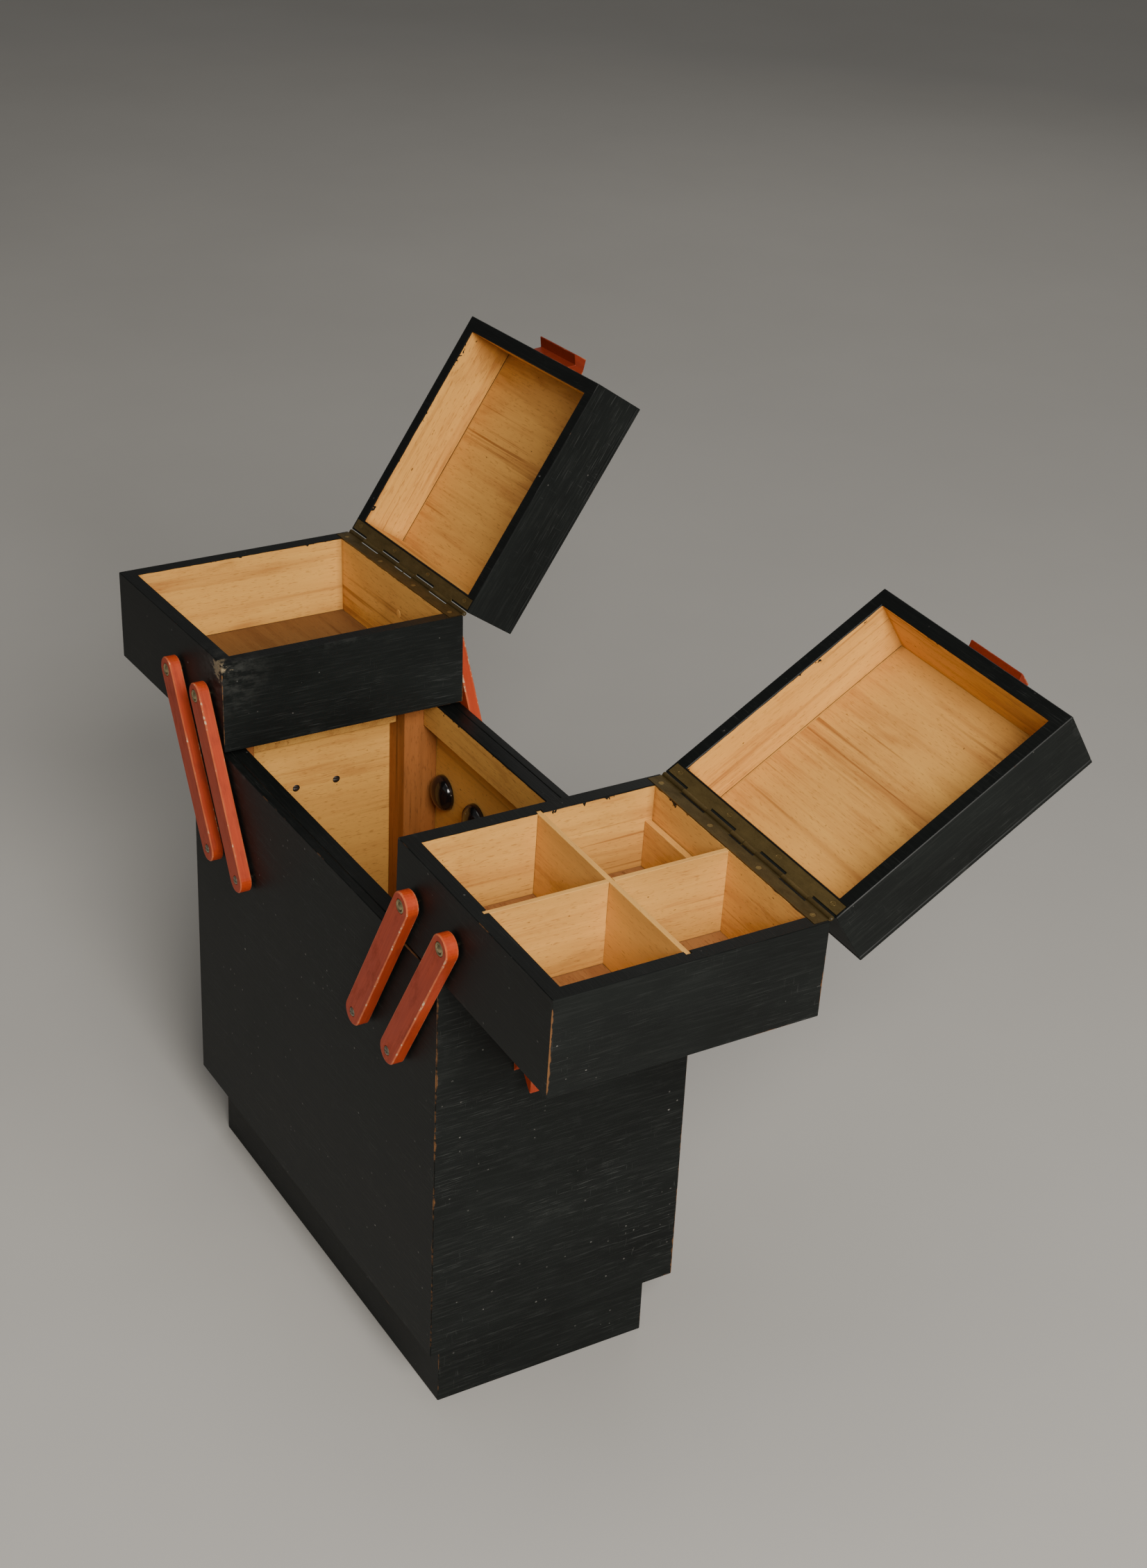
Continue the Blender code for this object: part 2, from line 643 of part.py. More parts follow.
# ---- lids ----
def lid(side_name, frame, finish):
    """A deep lid: a frame under a thin top board; its frame's origin is on the hinge axis."""
    prefix = side_name + "_lid_"
    centre = (0.0, -AXIS_OUT - TRAY_WIDTH / 2, 0.0)
    low_z = AXIS_UP
    high_z = low_z + LID_HEIGHT - LID_TOP
    half_x = TRAY_LENGTH / 2
    box = ring(prefix + "box", centre, half_x, TRAY_WIDTH / 2, WALL, low_z, high_z, frame, finish["black"])
    low = (-half_x, centre[1] - HALF_WIDTH, high_z + TOUCH)
    high = (half_x, centre[1] + HALF_WIDTH, high_z + LID_TOP)
    board(prefix + "top", low, high, frame, finish["black"])
    grip(side_name + "_pull", PULL_LENGTH, PULL_DEPTH, PULL_HEIGHT, PULL_LIP, low_z + PULL_RISE,
         (0, -1), (0.0, centre[1] - HALF_WIDTH, 0.0), frame, finish["red"])
    return box


# ---- hinges ----
def hinge_knuckles():
    """The knuckles along the hinge, as (start, end, leaf), for one half of it; the other half mirrors it.

    The halves look like two hinges cut from one length of strip: the knuckles at the middle and the
    ends are short, and a narrow gap parts them at the middle.
    """
    end = -TRAY_LENGTH / 2 + HINGE_END_GAP
    marks = [-HINGE_MIDDLE_GAP / 2]
    joint = -KNUCKLE / 2
    while joint > end + KNUCKLE_SHORTEST:
        marks.append(joint)
        joint -= KNUCKLE
    marks.append(end)
    leaves = ["lid", "tray"] * len(marks)
    return [(low, high, leaf) for high, low, leaf in zip(marks, marks[1:], leaves)]


def hinge_leaf(name, leaf, width, up, frame, finish):
    """A long flat leaf, notched for the other leaf's knuckles, with its own tubes round the pin."""
    parts = bmesh.new()
    tubes = bmesh.new()
    bore = bmesh.new()
    notches = bmesh.new()
    countersinks = bmesh.new()
    half = TRAY_LENGTH / 2 - HINGE_END_GAP
    low_z, high_z = sorted((up * TOUCH / 2, up * (TOUCH / 2 + LEAF)))
    add_box(parts, (-half, -width, low_z), (half, 0.0, high_z))
    notch = KNUCKLE_RADIUS + NOTCH_BEHIND_BARREL
    along = (1.0, 0.0, 0.0)
    for mirror in (-1, 1):
        for start, end, owner in hinge_knuckles():
            low, high = sorted((mirror * start, mirror * end))
            if owner == leaf:
                low += KNUCKLE_GAP / 2
                high -= KNUCKLE_GAP / 2
                add_turned(tubes, [(0.0, 0.0), (0.0, KNUCKLE_RADIUS), (high - low, KNUCKLE_RADIUS),
                                   (high - low, 0.0)], (low, 0.0, 0.0), along, HOLE_SIDES)
            else:
                low -= KNUCKLE_GAP / 2
                high += KNUCKLE_GAP / 2
                add_box(notches, (low, -notch, -WALL), (high, WALL, WALL))
        for step in range(HINGE_SCREWS):
            x = mirror * (HINGE_SCREW_FROM_END + step * HINGE_SCREW_PITCH - half)
            wide = HINGE_SCREW_HEAD / 2
            narrow = HINGE_SCREW_DIAMETER / 2
            deep = LEAF + 2 * TOUCH
            sunk = [(-TOUCH, 0.0), (-TOUCH, wide), (TOUCH, wide), (deep, narrow), (deep, 0.0)]
            spot = (x, -AXIS_OUT - HINGE_SCREW_INSET, 0.0)
            add_turned(countersinks, sunk, spot, (0.0, 0.0, float(up)), HOLE_SIDES)
    radius = PIN_RADIUS + PIN_FIT
    long = 2 * (half + KNUCKLE_GAP)
    add_turned(bore, [(0.0, 0.0), (0.0, radius), (long, radius), (long, 0.0)], (-long / 2, 0.0, 0.0),
               along, PIN_SIDES)
    made = add_object(name, mesh_from(name, parts), frame, finish)
    cut(made, cutter_from(name + "_notches", notches, frame))
    union = made.modifiers.new("knuckles", "BOOLEAN")
    union.operation = "UNION"
    union.solver = "EXACT"
    union.object = cutter_from(name + "_tubes", tubes, frame)
    cut(made, cutter_from(name + "_bore", bore, frame))
    cut(made, cutter_from(name + "_countersinks", countersinks, frame))


def hinge(side_name, tray_frame, lid_frame, axis_spot, tray_box, lid_box, finish):
    """A hinge along the back: its leaves are let into both rims, and one pin runs through its knuckles."""
    axis_frame = empty(side_name + "_hinge_frame", axis_spot, (0.0, 0.0, 0.0), tray_frame)
    inner = AXIS_OUT + WALL
    prefix = side_name + "_hinge_"
    hinge_leaf(prefix + "tray_leaf", "tray", inner - LEAF_MARGIN_TRAY, -1, axis_frame, finish["brass"])
    hinge_leaf(prefix + "lid_leaf", "lid", inner - LEAF_MARGIN_LID, 1, lid_frame, finish["brass"])
    half = TRAY_LENGTH / 2 - HINGE_END_GAP + TOUCH
    deep = LEAF + TOUCH / 2 + TOUCH
    beyond = WALL
    cut(tray_box, box_cutter(prefix + "tray_bed", (-half, -inner - TOUCH, -deep), (half, beyond, beyond),
                             axis_frame))
    cut(lid_box, box_cutter(prefix + "lid_bed", (-half, -inner + LEAF_MARGIN_LID - TOUCH, -beyond),
                            (half, beyond, deep), lid_frame))
    pin = bmesh.new()
    long = 2 * (TRAY_LENGTH / 2 - HINGE_END_GAP)
    add_turned(pin, [(0.0, 0.0), (0.0, PIN_RADIUS), (long, PIN_RADIUS), (long, 0.0)],
               (-long / 2, 0.0, 0.0), (1.0, 0.0, 0.0), PIN_SIDES)
    smooth(add_object(prefix + "pin", mesh_from(prefix + "pin", pin), axis_frame, finish["steel"]))


def main():
    clear_scene()
    finish = make_materials()
    frame = empty("chest_frame", (0.0, CHEST_CENTRE_Y, 0.0))
    walls = chest_body(frame, finish)
    carrying_handles(frame, walls, finish)
    chest_pivots(frame, walls, finish)
    arms(frame, finish)
    for side_name in SIDES:
        tray(side_name, frame, finish)


main()
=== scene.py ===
"""Looks for a cantilever sewing box: black painted plywood, bare birch inside, red arms, brass hinges.

It is laid out as an add-on and run as a script.  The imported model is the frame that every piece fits.
"""
import json
import math
from itertools import product

import bpy
import numpy as np
from mathutils import Euler, Matrix, Vector


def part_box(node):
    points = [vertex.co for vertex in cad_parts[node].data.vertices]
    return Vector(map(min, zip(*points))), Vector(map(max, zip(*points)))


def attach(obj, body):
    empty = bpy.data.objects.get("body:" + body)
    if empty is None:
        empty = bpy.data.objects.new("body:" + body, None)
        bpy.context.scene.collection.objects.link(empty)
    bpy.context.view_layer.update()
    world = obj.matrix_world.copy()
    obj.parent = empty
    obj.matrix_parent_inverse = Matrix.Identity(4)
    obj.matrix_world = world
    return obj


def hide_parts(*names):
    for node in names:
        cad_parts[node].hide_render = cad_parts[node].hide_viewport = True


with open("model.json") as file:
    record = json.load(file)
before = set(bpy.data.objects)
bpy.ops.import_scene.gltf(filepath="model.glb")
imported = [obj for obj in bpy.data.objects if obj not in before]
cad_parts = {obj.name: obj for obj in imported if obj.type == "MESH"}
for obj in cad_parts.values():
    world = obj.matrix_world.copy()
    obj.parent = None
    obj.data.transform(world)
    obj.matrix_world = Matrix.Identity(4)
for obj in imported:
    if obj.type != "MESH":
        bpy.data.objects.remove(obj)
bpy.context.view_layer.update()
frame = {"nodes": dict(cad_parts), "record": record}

bl_info = {
    "name": "Cantilever sewing box",
    "version": (1, 0, 0),
    "blender": (4, 5, 0),
    "location": "3D View > Sidebar > Sewing box",
    "description": "Paint, bare wood, hinges and fastenings for a sewing box with swing-out trays",
    "category": "Object",
}

JOINTS = {joint["name"]: joint for joint in frame["record"]["behaviour"]["joints"]}
SIDES = {"left": -1, "right": 1}
ENDS = {"front": -1, "back": 1}
BARS = ("inner", "outer")

# ---- places taken from the frame ----
FRONT_LOW, FRONT_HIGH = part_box("chest_front_wall")
BACK_LOW, BACK_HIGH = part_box("chest_back_wall")
LEFT_LOW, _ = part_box("chest_left_wall")
_, RIGHT_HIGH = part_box("chest_right_wall")
PLINTH_LOW, PLINTH_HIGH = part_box("plinth_frame")
CHEST_LOW = Vector((LEFT_LOW.x, FRONT_LOW.y, FRONT_LOW.z))
CHEST_HIGH = Vector((RIGHT_HIGH.x, BACK_HIGH.y, FRONT_HIGH.z))
CENTRE_Y = (CHEST_LOW.y + CHEST_HIGH.y) / 2

# ---- sizes shared with the solids ----
PANEL = 0.008               # boards of the chest
WALL = 0.013                # boards of the trays and lids
PLINTH_WALL = 0.012
TRAY_LENGTH = 0.2324
TRAY_WIDTH = 0.230
TRAY_HEIGHT = 0.083
PIVOT_FROM_END = 0.0312     # tray's inner end to the inner arms' upper pivot
PIVOT_HEIGHT = 0.0437       # tray's lower edge to the upper pivots
PIVOT_SPACING = 0.0625      # inner arms' upper pivot to the outer arms'
FLOOR_MIDDLE = 0.0075       # tray's lower edge to the middle of its floor board
DIVIDER_TOP = 0.082         # tray's lower edge to the top of the two tall dividers
LOW_DIVIDER_TOP = 0.052     # tray's lower edge to the top of the low one
LID_HEIGHT = 0.053
LID_TOP = 0.004             # thickness of a lid's top board
AXIS_OUT = 0.0025           # hinge axis beyond the wall
AXIS_UP = 0.0003            # lid's rim above the hinge axis
ARM_WIDTH = 0.023
ARM_THICK = 0.0105
ARM_FACE = 0.128            # middle of the chest to an arm's outer face
PULL_HALF = (0.0315, 0.0075, 0.0095)
PULL_OUT = 0.0078           # lid's front wall to the middle of its pull
PULL_UP = 0.030             # lid's rim to the middle of its pull

# ---- small fastenings ----
CAP_RISE = 0.0123           # height of a cap nut
CAP_SKIRT = 0.0019          # straight part at its foot
CAP_SHORT = 0.0002          # how far its tip stays inside the solid one
HINGE_SCREW_PLACES = (-0.1032, -0.0332, 0.0332, 0.1032)     # along a hinge from its middle
HINGE_SCREW_IN = 0.0068     # wall's outer face to the line of screws
HINGE_SCREW_SINK = 0.00018  # hinge axis to the face of a screw head
HANDLE_SCREW_RISE = 0.0237  # handle's lower edge to the screws that hold it
HANDLE_SCREW_SPACING = 0.040
PLUG_ALONG = 0.0154         # middle of the left tray to the plug in its back wall
PLUG_UP = 0.0496            # tray's lower edge to the plug
PLUG_PROUD = 0.00015        # plug's face in front of the wall
CHIP_IN = 0.006             # left tray's end to the middle of the chip in its rim
CHIP_DOWN = 0.005

# ---- colours left by age ----
SPECK = (0.36, 0.35, 0.32)              # pale chips and splashes on black paint
KNOCKED_WOOD = (0.40, 0.30, 0.17)       # broken wood at a knocked corner
SMUDGE = (0.085, 0.088, 0.080)          # rubbed paint round it
PAINTED_RIM_SHADE = (0.0025, 0.0028, 0.0026)    # painted shade on the rims' top faces
ARM_DIRT = (0.10, 0.014, 0.006)
RUBBED_RED = (0.62, 0.205, 0.085)
CHIPPED_RED = (0.62, 0.45, 0.28)
ENAMEL_CHIP = (0.30, 0.27, 0.22)
DUST = (0.25, 0.23, 0.20)

# ---- stage ----
LIGHTS = (                  # name, place, width and power
    ("key", (2.85, -0.62, 2.25), 1.7, 150.0),
    ("fill", (0.8, -3.2, 1.8), 2.4, 1.5),
    ("top", (0.6, 0.2, 3.6), 2.6, 24.0),
    ("back", (-2.6, 2.9, 2.2), 2.4, 9.0))
LIGHT_COLOUR = (1.0, 0.955, 0.90)
LIGHT_AIM_HEIGHT = 0.35
ROOM_COLOUR = (1.0, 0.98, 0.95, 1.0)
ROOM_STRENGTH = 0.15
FLOOR_DARK = (0.45, 0.44, 0.415)
FLOOR_LIGHT = (0.52, 0.51, 0.48)
FLOOR_HALF = 30.0           # half the floor's length
CAMERA_PLACE = (1.63226, -0.77719, 1.45221)
CAMERA_TURN = (58.36, 28.3, 2.77)       # azimuth, elevation and roll in degrees
CAMERA_LENS = 58.58


# ---- places of the moving pieces ----
def side_tilt(side):
    """Droop of a tray, read from the direction of its lid's hinge."""
    axis = JOINTS[side + "_lid_hinge"]["axis"]
    return math.atan2(-axis[2], axis[0])


def turned_about_y(angle):
    """Matrix of a turn about Y."""
    return Euler((0.0, angle, 0.0)).to_matrix().to_4x4()


def tray_place(side):
    """Matrix of a tray's own frame: the inner arms' upper pivot, tipped by the droop."""
    x, _, z = JOINTS[side + "_tray_pivot"]["pos_m"]
    return Matrix.Translation((x, CENTRE_Y, z)) @ turned_about_y(side_tilt(side))


def tray_box(side):
    """Matrix of the middle of a tray's box."""
    shift = (SIDES[side] * (TRAY_LENGTH / 2 - PIVOT_FROM_END), 0.0, TRAY_HEIGHT / 2 - PIVOT_HEIGHT)
    return tray_place(side) @ Matrix.Translation(shift)


def lid_place(side):
    """Matrix of a lid's own frame: the middle of its hinge axis, turned open by the hinge's upper limit."""
    joint = JOINTS[side + "_lid_hinge"]
    opened = Euler((-math.radians(joint["range_deg"][1]), 0.0, 0.0)).to_matrix().to_4x4()
    return Matrix.Translation(joint["pos_m"]) @ turned_about_y(side_tilt(side)) @ opened


def lid_box(side):
    """Matrix of the middle of a lid's box."""
    return lid_place(side) @ Matrix.Translation((0.0, -AXIS_OUT - TRAY_WIDTH / 2, AXIS_UP + LID_HEIGHT / 2))


def upper_pivot(side, bar):
    """Where an arm is screwed to its tray, on the tray's middle plane."""
    along = 0.0 if bar == "inner" else SIDES[side] * PIVOT_SPACING
    return tray_place(side) @ Vector((along, 0.0, 0.0))


def arm_place(side, bar, end):
    """Matrix of an arm's own frame, which is its lower pivot with +Z up the arm, and the arm's length
    between pivots."""
    swing = side + "_swing" if bar == "inner" else side + "_outer_" + end + "_arm_swing"
    foot = Vector(JOINTS[swing]["pos_m"])
    foot.y = CENTRE_Y + ENDS[end] * (ARM_FACE - ARM_THICK / 2)
    reach = upper_pivot(side, bar) - foot
    lean = math.atan2(reach.x, reach.z)
    return Matrix.Translation(foot) @ turned_about_y(lean), math.hypot(reach.x, reach.z)


# ---- settings ----
class SewingBoxLook(bpy.types.PropertyGroup):
    """Colours and small sizes that a user would change."""
    paint: bpy.props.FloatVectorProperty(
        name="Black paint", description="Colour of the paint on the outside", subtype="COLOR",
        default=(0.0050, 0.0060, 0.0056), min=0.0, max=1.0)
    scuff: bpy.props.FloatVectorProperty(
        name="Scuffs", description="Colour of rubbed paint", subtype="COLOR",
        default=(0.062, 0.066, 0.062), min=0.0, max=1.0)
    bare_edge: bpy.props.FloatVectorProperty(
        name="Worn edges", description="Colour of wood that shows where paint is worn off", subtype="COLOR",
        default=(0.27, 0.125, 0.048), min=0.0, max=1.0)
    birch_light: bpy.props.FloatVectorProperty(
        name="Light birch", description="Lightest tone of the bare wood", subtype="COLOR",
        default=(0.80, 0.435, 0.108), min=0.0, max=1.0)
    birch_dark: bpy.props.FloatVectorProperty(
        name="Dark birch", description="Darkest tone of the bare wood", subtype="COLOR",
        default=(0.40, 0.142, 0.036), min=0.0, max=1.0)
    post: bpy.props.FloatVectorProperty(
        name="Post wood", description="Tone of the corner posts", subtype="COLOR",
        default=(0.33, 0.122, 0.034), min=0.0, max=1.0)
    red: bpy.props.FloatVectorProperty(
        name="Red paint", description="Colour of the arms, handles and pulls", subtype="COLOR",
        default=(0.45, 0.043, 0.0105), min=0.0, max=1.0)
    brass: bpy.props.FloatVectorProperty(
        name="Old brass", description="Colour of the hinges", subtype="COLOR",
        default=(0.215, 0.148, 0.052), min=0.0, max=1.0)
    wear: bpy.props.FloatProperty(
        name="Wear", description="How much paint is worn off the edges", subtype="FACTOR",
        default=0.5, min=0.0, max=1.0)
    paint_lap: bpy.props.FloatProperty(
        name="Paint lap", description="How far the black paint runs over the inner edge of a rim",
        subtype="DISTANCE", unit="LENGTH", default=0.0012, min=0.0, max=0.01)
    hinge_screw: bpy.props.FloatProperty(
        name="Hinge screw head", description="Diameter of the hinges' screw heads",
        subtype="DISTANCE", unit="LENGTH", default=0.0048, min=0.002, max=0.0051)
    handle_screw: bpy.props.FloatProperty(
        name="Handle screw head", description="Diameter of the screw heads inside the chest",
        subtype="DISTANCE", unit="LENGTH", default=0.0068, min=0.003, max=0.0071)
    dome: bpy.props.FloatProperty(
        name="Cap nut", description="Diameter of the domed nuts inside the chest",
        subtype="DISTANCE", unit="LENGTH", default=0.034, min=0.02, max=0.035)


# ---- shader sums ----
class Value:
    """A socket of a material, so that shader maths is written as sums."""

    def __init__(self, finish, socket):
        self.finish = finish
        self.socket = socket

    def __add__(self, other):
        return self.finish.maths("ADD", self, other)

    __radd__ = __add__

    def __sub__(self, other):
        return self.finish.maths("SUBTRACT", self, other)

    def __rsub__(self, other):
        return self.finish.maths("SUBTRACT", other, self)

    def __mul__(self, other):
        return self.finish.maths("MULTIPLY", self, other)

    __rmul__ = __mul__

    def __abs__(self):
        return self.finish.maths("ABSOLUTE", self)


class Finish:
    """A material under construction: node() adds any node, and the rest are short names for it."""

    def __init__(self, name):
        self.material = bpy.data.materials.new(name)
        self.material.use_nodes = True
        self.tree = self.material.node_tree
        self.tree.nodes.clear()

    def node(self, kind, settings=None, inputs=None, output=0):
        """Adds a node of that type; settings are set first, then the values or links of its sockets."""
        made = self.tree.nodes.new(kind)
        for key, value in (settings or {}).items():
            setattr(made, key, value)
        for key, value in (inputs or {}).items():
            socket = made.inputs[key]
            if isinstance(value, Value):
                self.tree.links.new(value.socket, socket)
            elif socket.type == "RGBA" and len(value) == 3:
                socket.default_value = (*value, 1.0)
            else:
                socket.default_value = value
        return Value(self, made.outputs[output]) if made.outputs else None

    def maths(self, operation, *parts, clamp=False):
        settings = {"operation": operation, "use_clamp": clamp}
        return self.node("ShaderNodeMath", settings, dict(enumerate(parts)))

    def least(self, first, second):
        return self.maths("MINIMUM", first, second)

    def most(self, first, second):
        return self.maths("MAXIMUM", first, second)

    def clamp(self, value):
        return self.maths("ADD", value, 0.0, clamp=True)

    def above(self, value, limit):
        """1 where value is over the limit."""
        return self.maths("GREATER_THAN", value, limit)

    def fade(self, value, start, end):
        """0 at start and 1 at end, straight between them; it falls if end is the smaller."""
        return self.node("ShaderNodeMapRange", {"clamp": True}, {
            "Value": value, "From Min": start, "From Max": end, "To Min": 0.0, "To Max": 1.0})

    def mix(self, factor, first, second):
        """Colour mix."""
        return self.node("ShaderNodeMix", {"data_type": "RGBA"}, {0: factor, 6: first, 7: second}, 2)

    def stretch(self, vector, scale, shift=(0.0, 0.0, 0.0)):
        """vector times scale plus shift, part by part."""
        settings = {"operation": "MULTIPLY_ADD"}
        return self.node("ShaderNodeVectorMath", settings, {0: vector, 1: scale, 2: shift})

    def choose(self, factor, first, second):
        """Vector mix."""
        return self.node("ShaderNodeMix", {"data_type": "VECTOR"}, {0: factor, 4: first, 5: second}, 1)

    def place(self, matrix):
        """Object coordinates seen from a piece's own frame."""
        coordinates = self.node("ShaderNodeTexCoord", output="Object")
        return self.node("ShaderNodeMapping", {"vector_type": "TEXTURE"}, {
            "Vector": coordinates, "Location": matrix.to_translation(), "Rotation": matrix.to_euler()})

    def parts(self, vector):
        """The three numbers of a vector."""
        split = self.node("ShaderNodeSeparateXYZ", None, {0: vector})
        outputs = split.socket.node.outputs
        return [Value(self, outputs[index]) for index in range(3)]

    def join(self, x, y, z):
        """A vector of three numbers."""
        return self.node("ShaderNodeCombineXYZ", None, {0: x, 1: y, 2: z})

    def noise(self, vector, scale=1.0, detail=2.0, rough=0.5, warp=0.0):
        """Noise around 0.5 that is finer where the vector is stretched more."""
        return self.node("ShaderNodeTexNoise", None, {
            "Vector": vector, "Scale": scale, "Detail": detail, "Roughness": rough, "Distortion": warp})

    def dots(self, vector, scale, size, share):
        """Small round spots: the middle of some of the cells of a Voronoi pattern.

        share is how many of the cells hold one, and size is a spot's radius as a part of a cell.
        """
        cells = self.node("ShaderNodeTexVoronoi", {"feature": "F1"}, {"Vector": vector, "Scale": scale})
        colour = Value(self, cells.socket.node.outputs["Color"])
        pick, spread, _ = self.parts(colour)
        return self.fade(cells, size * (0.4 + spread), size * 0.3) * self.above(pick, 1.0 - share)

    def surface(self, colour, rough, metal=0.0, height=None, depth=0.0004, strength=0.6, shine=0.3, coat=0.0):
        """Closes the material: height is bumped by depth times strength, and shine is the specular level."""
        inputs = {"Base Color": colour, "Roughness": rough, "Metallic": metal, "Coat Weight": coat,
                  "Coat Roughness": 0.12, "Specular IOR Level": shine}
        if height is not None:
            inputs["Normal"] = self.node("ShaderNodeBump", None, {
                "Strength": strength, "Distance": depth, "Height": height})
        shader = self.node("ShaderNodeBsdfPrincipled", None, inputs)
        self.node("ShaderNodeOutputMaterial", None, {"Surface": shader})
        return self.material


# ---- helpers for looks ----
def times(colour, *shares):
    """A colour with its parts times one share, or each times its own."""
    return tuple(part * share for part, share in zip(colour, shares * 3))


def lighter(colour, share):
    """A colour times a share, with no part over 1."""
    return tuple(min(part * share, 1.0) for part in colour)


def box_edge(finish, dx, dy, dz):
    """Distance to a box's nearest edge: the middle one of the distances to its faces, which is their sum
    less the least and the most."""
    near = finish.least(finish.least(dx, dy), dz)
    far = finish.most(finish.most(dx, dy), dz)
    return dx + dy + dz - near - far


def block_edge(half):
    """Function for the distance to the nearest edge of a block with that half size."""
    def distance(finish, x, y, z):
        return box_edge(finish, half[0] - abs(x), half[1] - abs(y), half[2] - abs(z))
    return distance


def arm_edge(length):
    """Function for the distance to an arm's nearest edge.

    An arm is a strip round the line between its pivots, so its rim is half the width less the distance
    to that line; the edge is the larger of the distances to the rim and to the broad faces.
    """
    def distance(finish, x, y, z):
        beyond = finish.most(z - length, 0.0) + finish.most(0.0 - z, 0.0)
        rim = ARM_WIDTH / 2 - finish.maths("SQRT", x * x + beyond * beyond)
        return finish.most(rim, ARM_THICK / 2 - abs(y))
    return distance


def birch(finish, p, light, dark, seed, flame=1.0):
    """Bare plywood, with fibres along the first axis of p: returns (colour, roughness, height).

    Flame figure is contour lines of a slow noise; fibres, streaks and flecks are noise drawn out along
    the grain; blotches of old varnish lie over them.
    """
    at = (seed * 3.1, seed * 1.7, seed * 2.3)

    def drawn(along, across, *settings):
        return finish.noise(finish.stretch(p, (along, across, across), at), 1.0, *settings)

    slow = drawn(2.2, 13.0, 2.0, 0.45, 0.3)
    rings = finish.maths("SINE", slow * 58.0) * 0.5 + 0.5
    fibre = drawn(30.0, 900.0, 3.0, 0.6)
    streak = drawn(4.0, 120.0, 3.0, 0.55, 0.4)
    band = finish.fade(drawn(3.0, 46.0, 3.0, 0.6, 1.0), 0.53, 0.74)
    thin = finish.fade(drawn(3.0, 230.0, 2.0, 0.5, 0.5), 0.58, 0.68)
    zone = finish.fade(drawn(6.0, 24.0, 2.0), 0.48, 0.62)
    blotch = drawn(9.0, 14.0, 4.0, 0.6)
    fleck = finish.fade(drawn(150.0, 760.0, 1.0), 0.60, 0.72)
    spot = finish.fade(drawn(220.0, 420.0, 0.0), 0.84, 0.90)
    stain = finish.fade(drawn(16.0, 30.0, 6.0, 0.7), 0.58, 0.78)
    tone = finish.clamp(rings * (0.13 * flame) + fibre * 0.55 + streak * 0.75 + blotch * 1.1 - 0.92)
    middle = tuple((a + b) / 2 for a, b in zip(light, dark))
    colour = finish.mix(tone, light, middle)
    colour = finish.mix(finish.fade(tone, 0.45, 1.1), colour, dark)
    colour = finish.mix(band * (0.54 * flame), colour, times(dark, 0.9))
    colour = finish.mix(thin * zone * (0.64 * flame), colour, times(dark, 0.7))
    colour = finish.mix(fleck * 0.34, colour, times(dark, 0.62))
    colour = finish.mix(spot * 0.8, colour, times(dark, 0.16))
    colour = finish.mix(stain * 0.42, colour, times(dark, 0.66))
    rough = 0.46 + fibre * 0.16 + stain * 0.08 - blotch * 0.08
    height = fibre * 0.5 + rings * 0.08 - fleck * 0.5
    return colour, rough, height


def black_paint(finish, look, p, edge, corner, seed, rubbed=1.0):
    """Old black paint over grained wood, with grain along the first axis of p: (colour, roughness, height).

    edge is the distance to the board's nearest edge, and corner is over 0 along upright edges that are worn
    from end to end.  Paint is worn off where edge is under a width that wanders along the edge; scratches
    are what a drawn-out noise has over a limit; specks are dots with a ragged outline.
    """
    at = (seed * 2.9, seed * 4.1, seed * 1.3)

    def drawn(along, across, *settings):
        return finish.noise(finish.stretch(p, (along, across, across), at), 1.0, *settings)

    cloud = drawn(7.0, 11.0, 4.0, 0.6)
    grain = drawn(24.0, 520.0, 3.0, 0.65)
    fine = drawn(420.0, 520.0, 2.0)
    where = finish.fade(drawn(9.0, 16.0, 3.0, 0.6), 0.42, 0.66)
    line_shift = tuple(part + 7.0 for part in at)
    lines = finish.noise(finish.stretch(p, (44.0, 1300.0, 1300.0), line_shift), 1.0, 2.0, 0.55, 0.1)
    scratch = finish.fade(lines, 0.60, 0.74) * (0.18 + where * 0.82)
    cross = drawn(800.0, 90.0, 2.0, 0.5, 0.5)
    scratch = finish.clamp(scratch + finish.fade(cross, 0.66, 0.78) * where * 0.7)
    rub = finish.fade(drawn(30.0, 45.0, 8.0, 0.72), 0.58, 0.80)
    patch = drawn(15.0, 15.0, 5.0, 0.65)
    nick = drawn(190.0, 190.0, 3.0, 0.6)
    large = finish.dots(finish.stretch(p, (0.6, 1.0, 1.0), at), 52.0, 0.075, 0.13 * rubbed)
    small = finish.dots(finish.stretch(p, (0.8, 1.0, 1.0), at), 150.0, 0.13, 0.12 * rubbed) * 0.6
    specks = finish.clamp(large + small) * finish.fade(drawn(700.0, 900.0, 2.0, 0.6), 0.36, 0.56)
    width = finish.clamp(patch * 4.0 - 2.15) * (0.0010 + 0.0016 * look.wear) * nick * 2.0 * rubbed
    width = width + corner * finish.clamp(nick * 3.0 - 0.7) * finish.clamp(patch * 3.0 - 0.7) * 0.0008
    worn = finish.fade(edge, width, width * 0.45)
    near = finish.fade(edge, 0.006, 0.0) * rub
    colour = finish.mix(finish.fade(cloud, 0.3, 0.75), tuple(look.paint), times(look.paint, 2.3))
    marks = finish.clamp(scratch * 0.62 + near * 0.5 + rub * 0.14 + finish.fade(grain, 0.50, 0.80) * 0.14)
    colour = finish.mix(marks * rubbed, colour, tuple(look.scuff))
    colour = finish.mix(specks * 0.8, colour, SPECK)
    bare = finish.mix(nick, tuple(look.bare_edge), times(look.bare_edge, 0.45))
    colour = finish.mix(worn, colour, bare)
    rough = 0.36 + cloud * 0.16 + scratch * 0.2 + worn * 0.2 + grain * 0.12
    height = grain * 0.55 + fine * 0.16 - scratch * 0.35 - worn * 0.7 + specks * 0.5
    return colour, rough, height


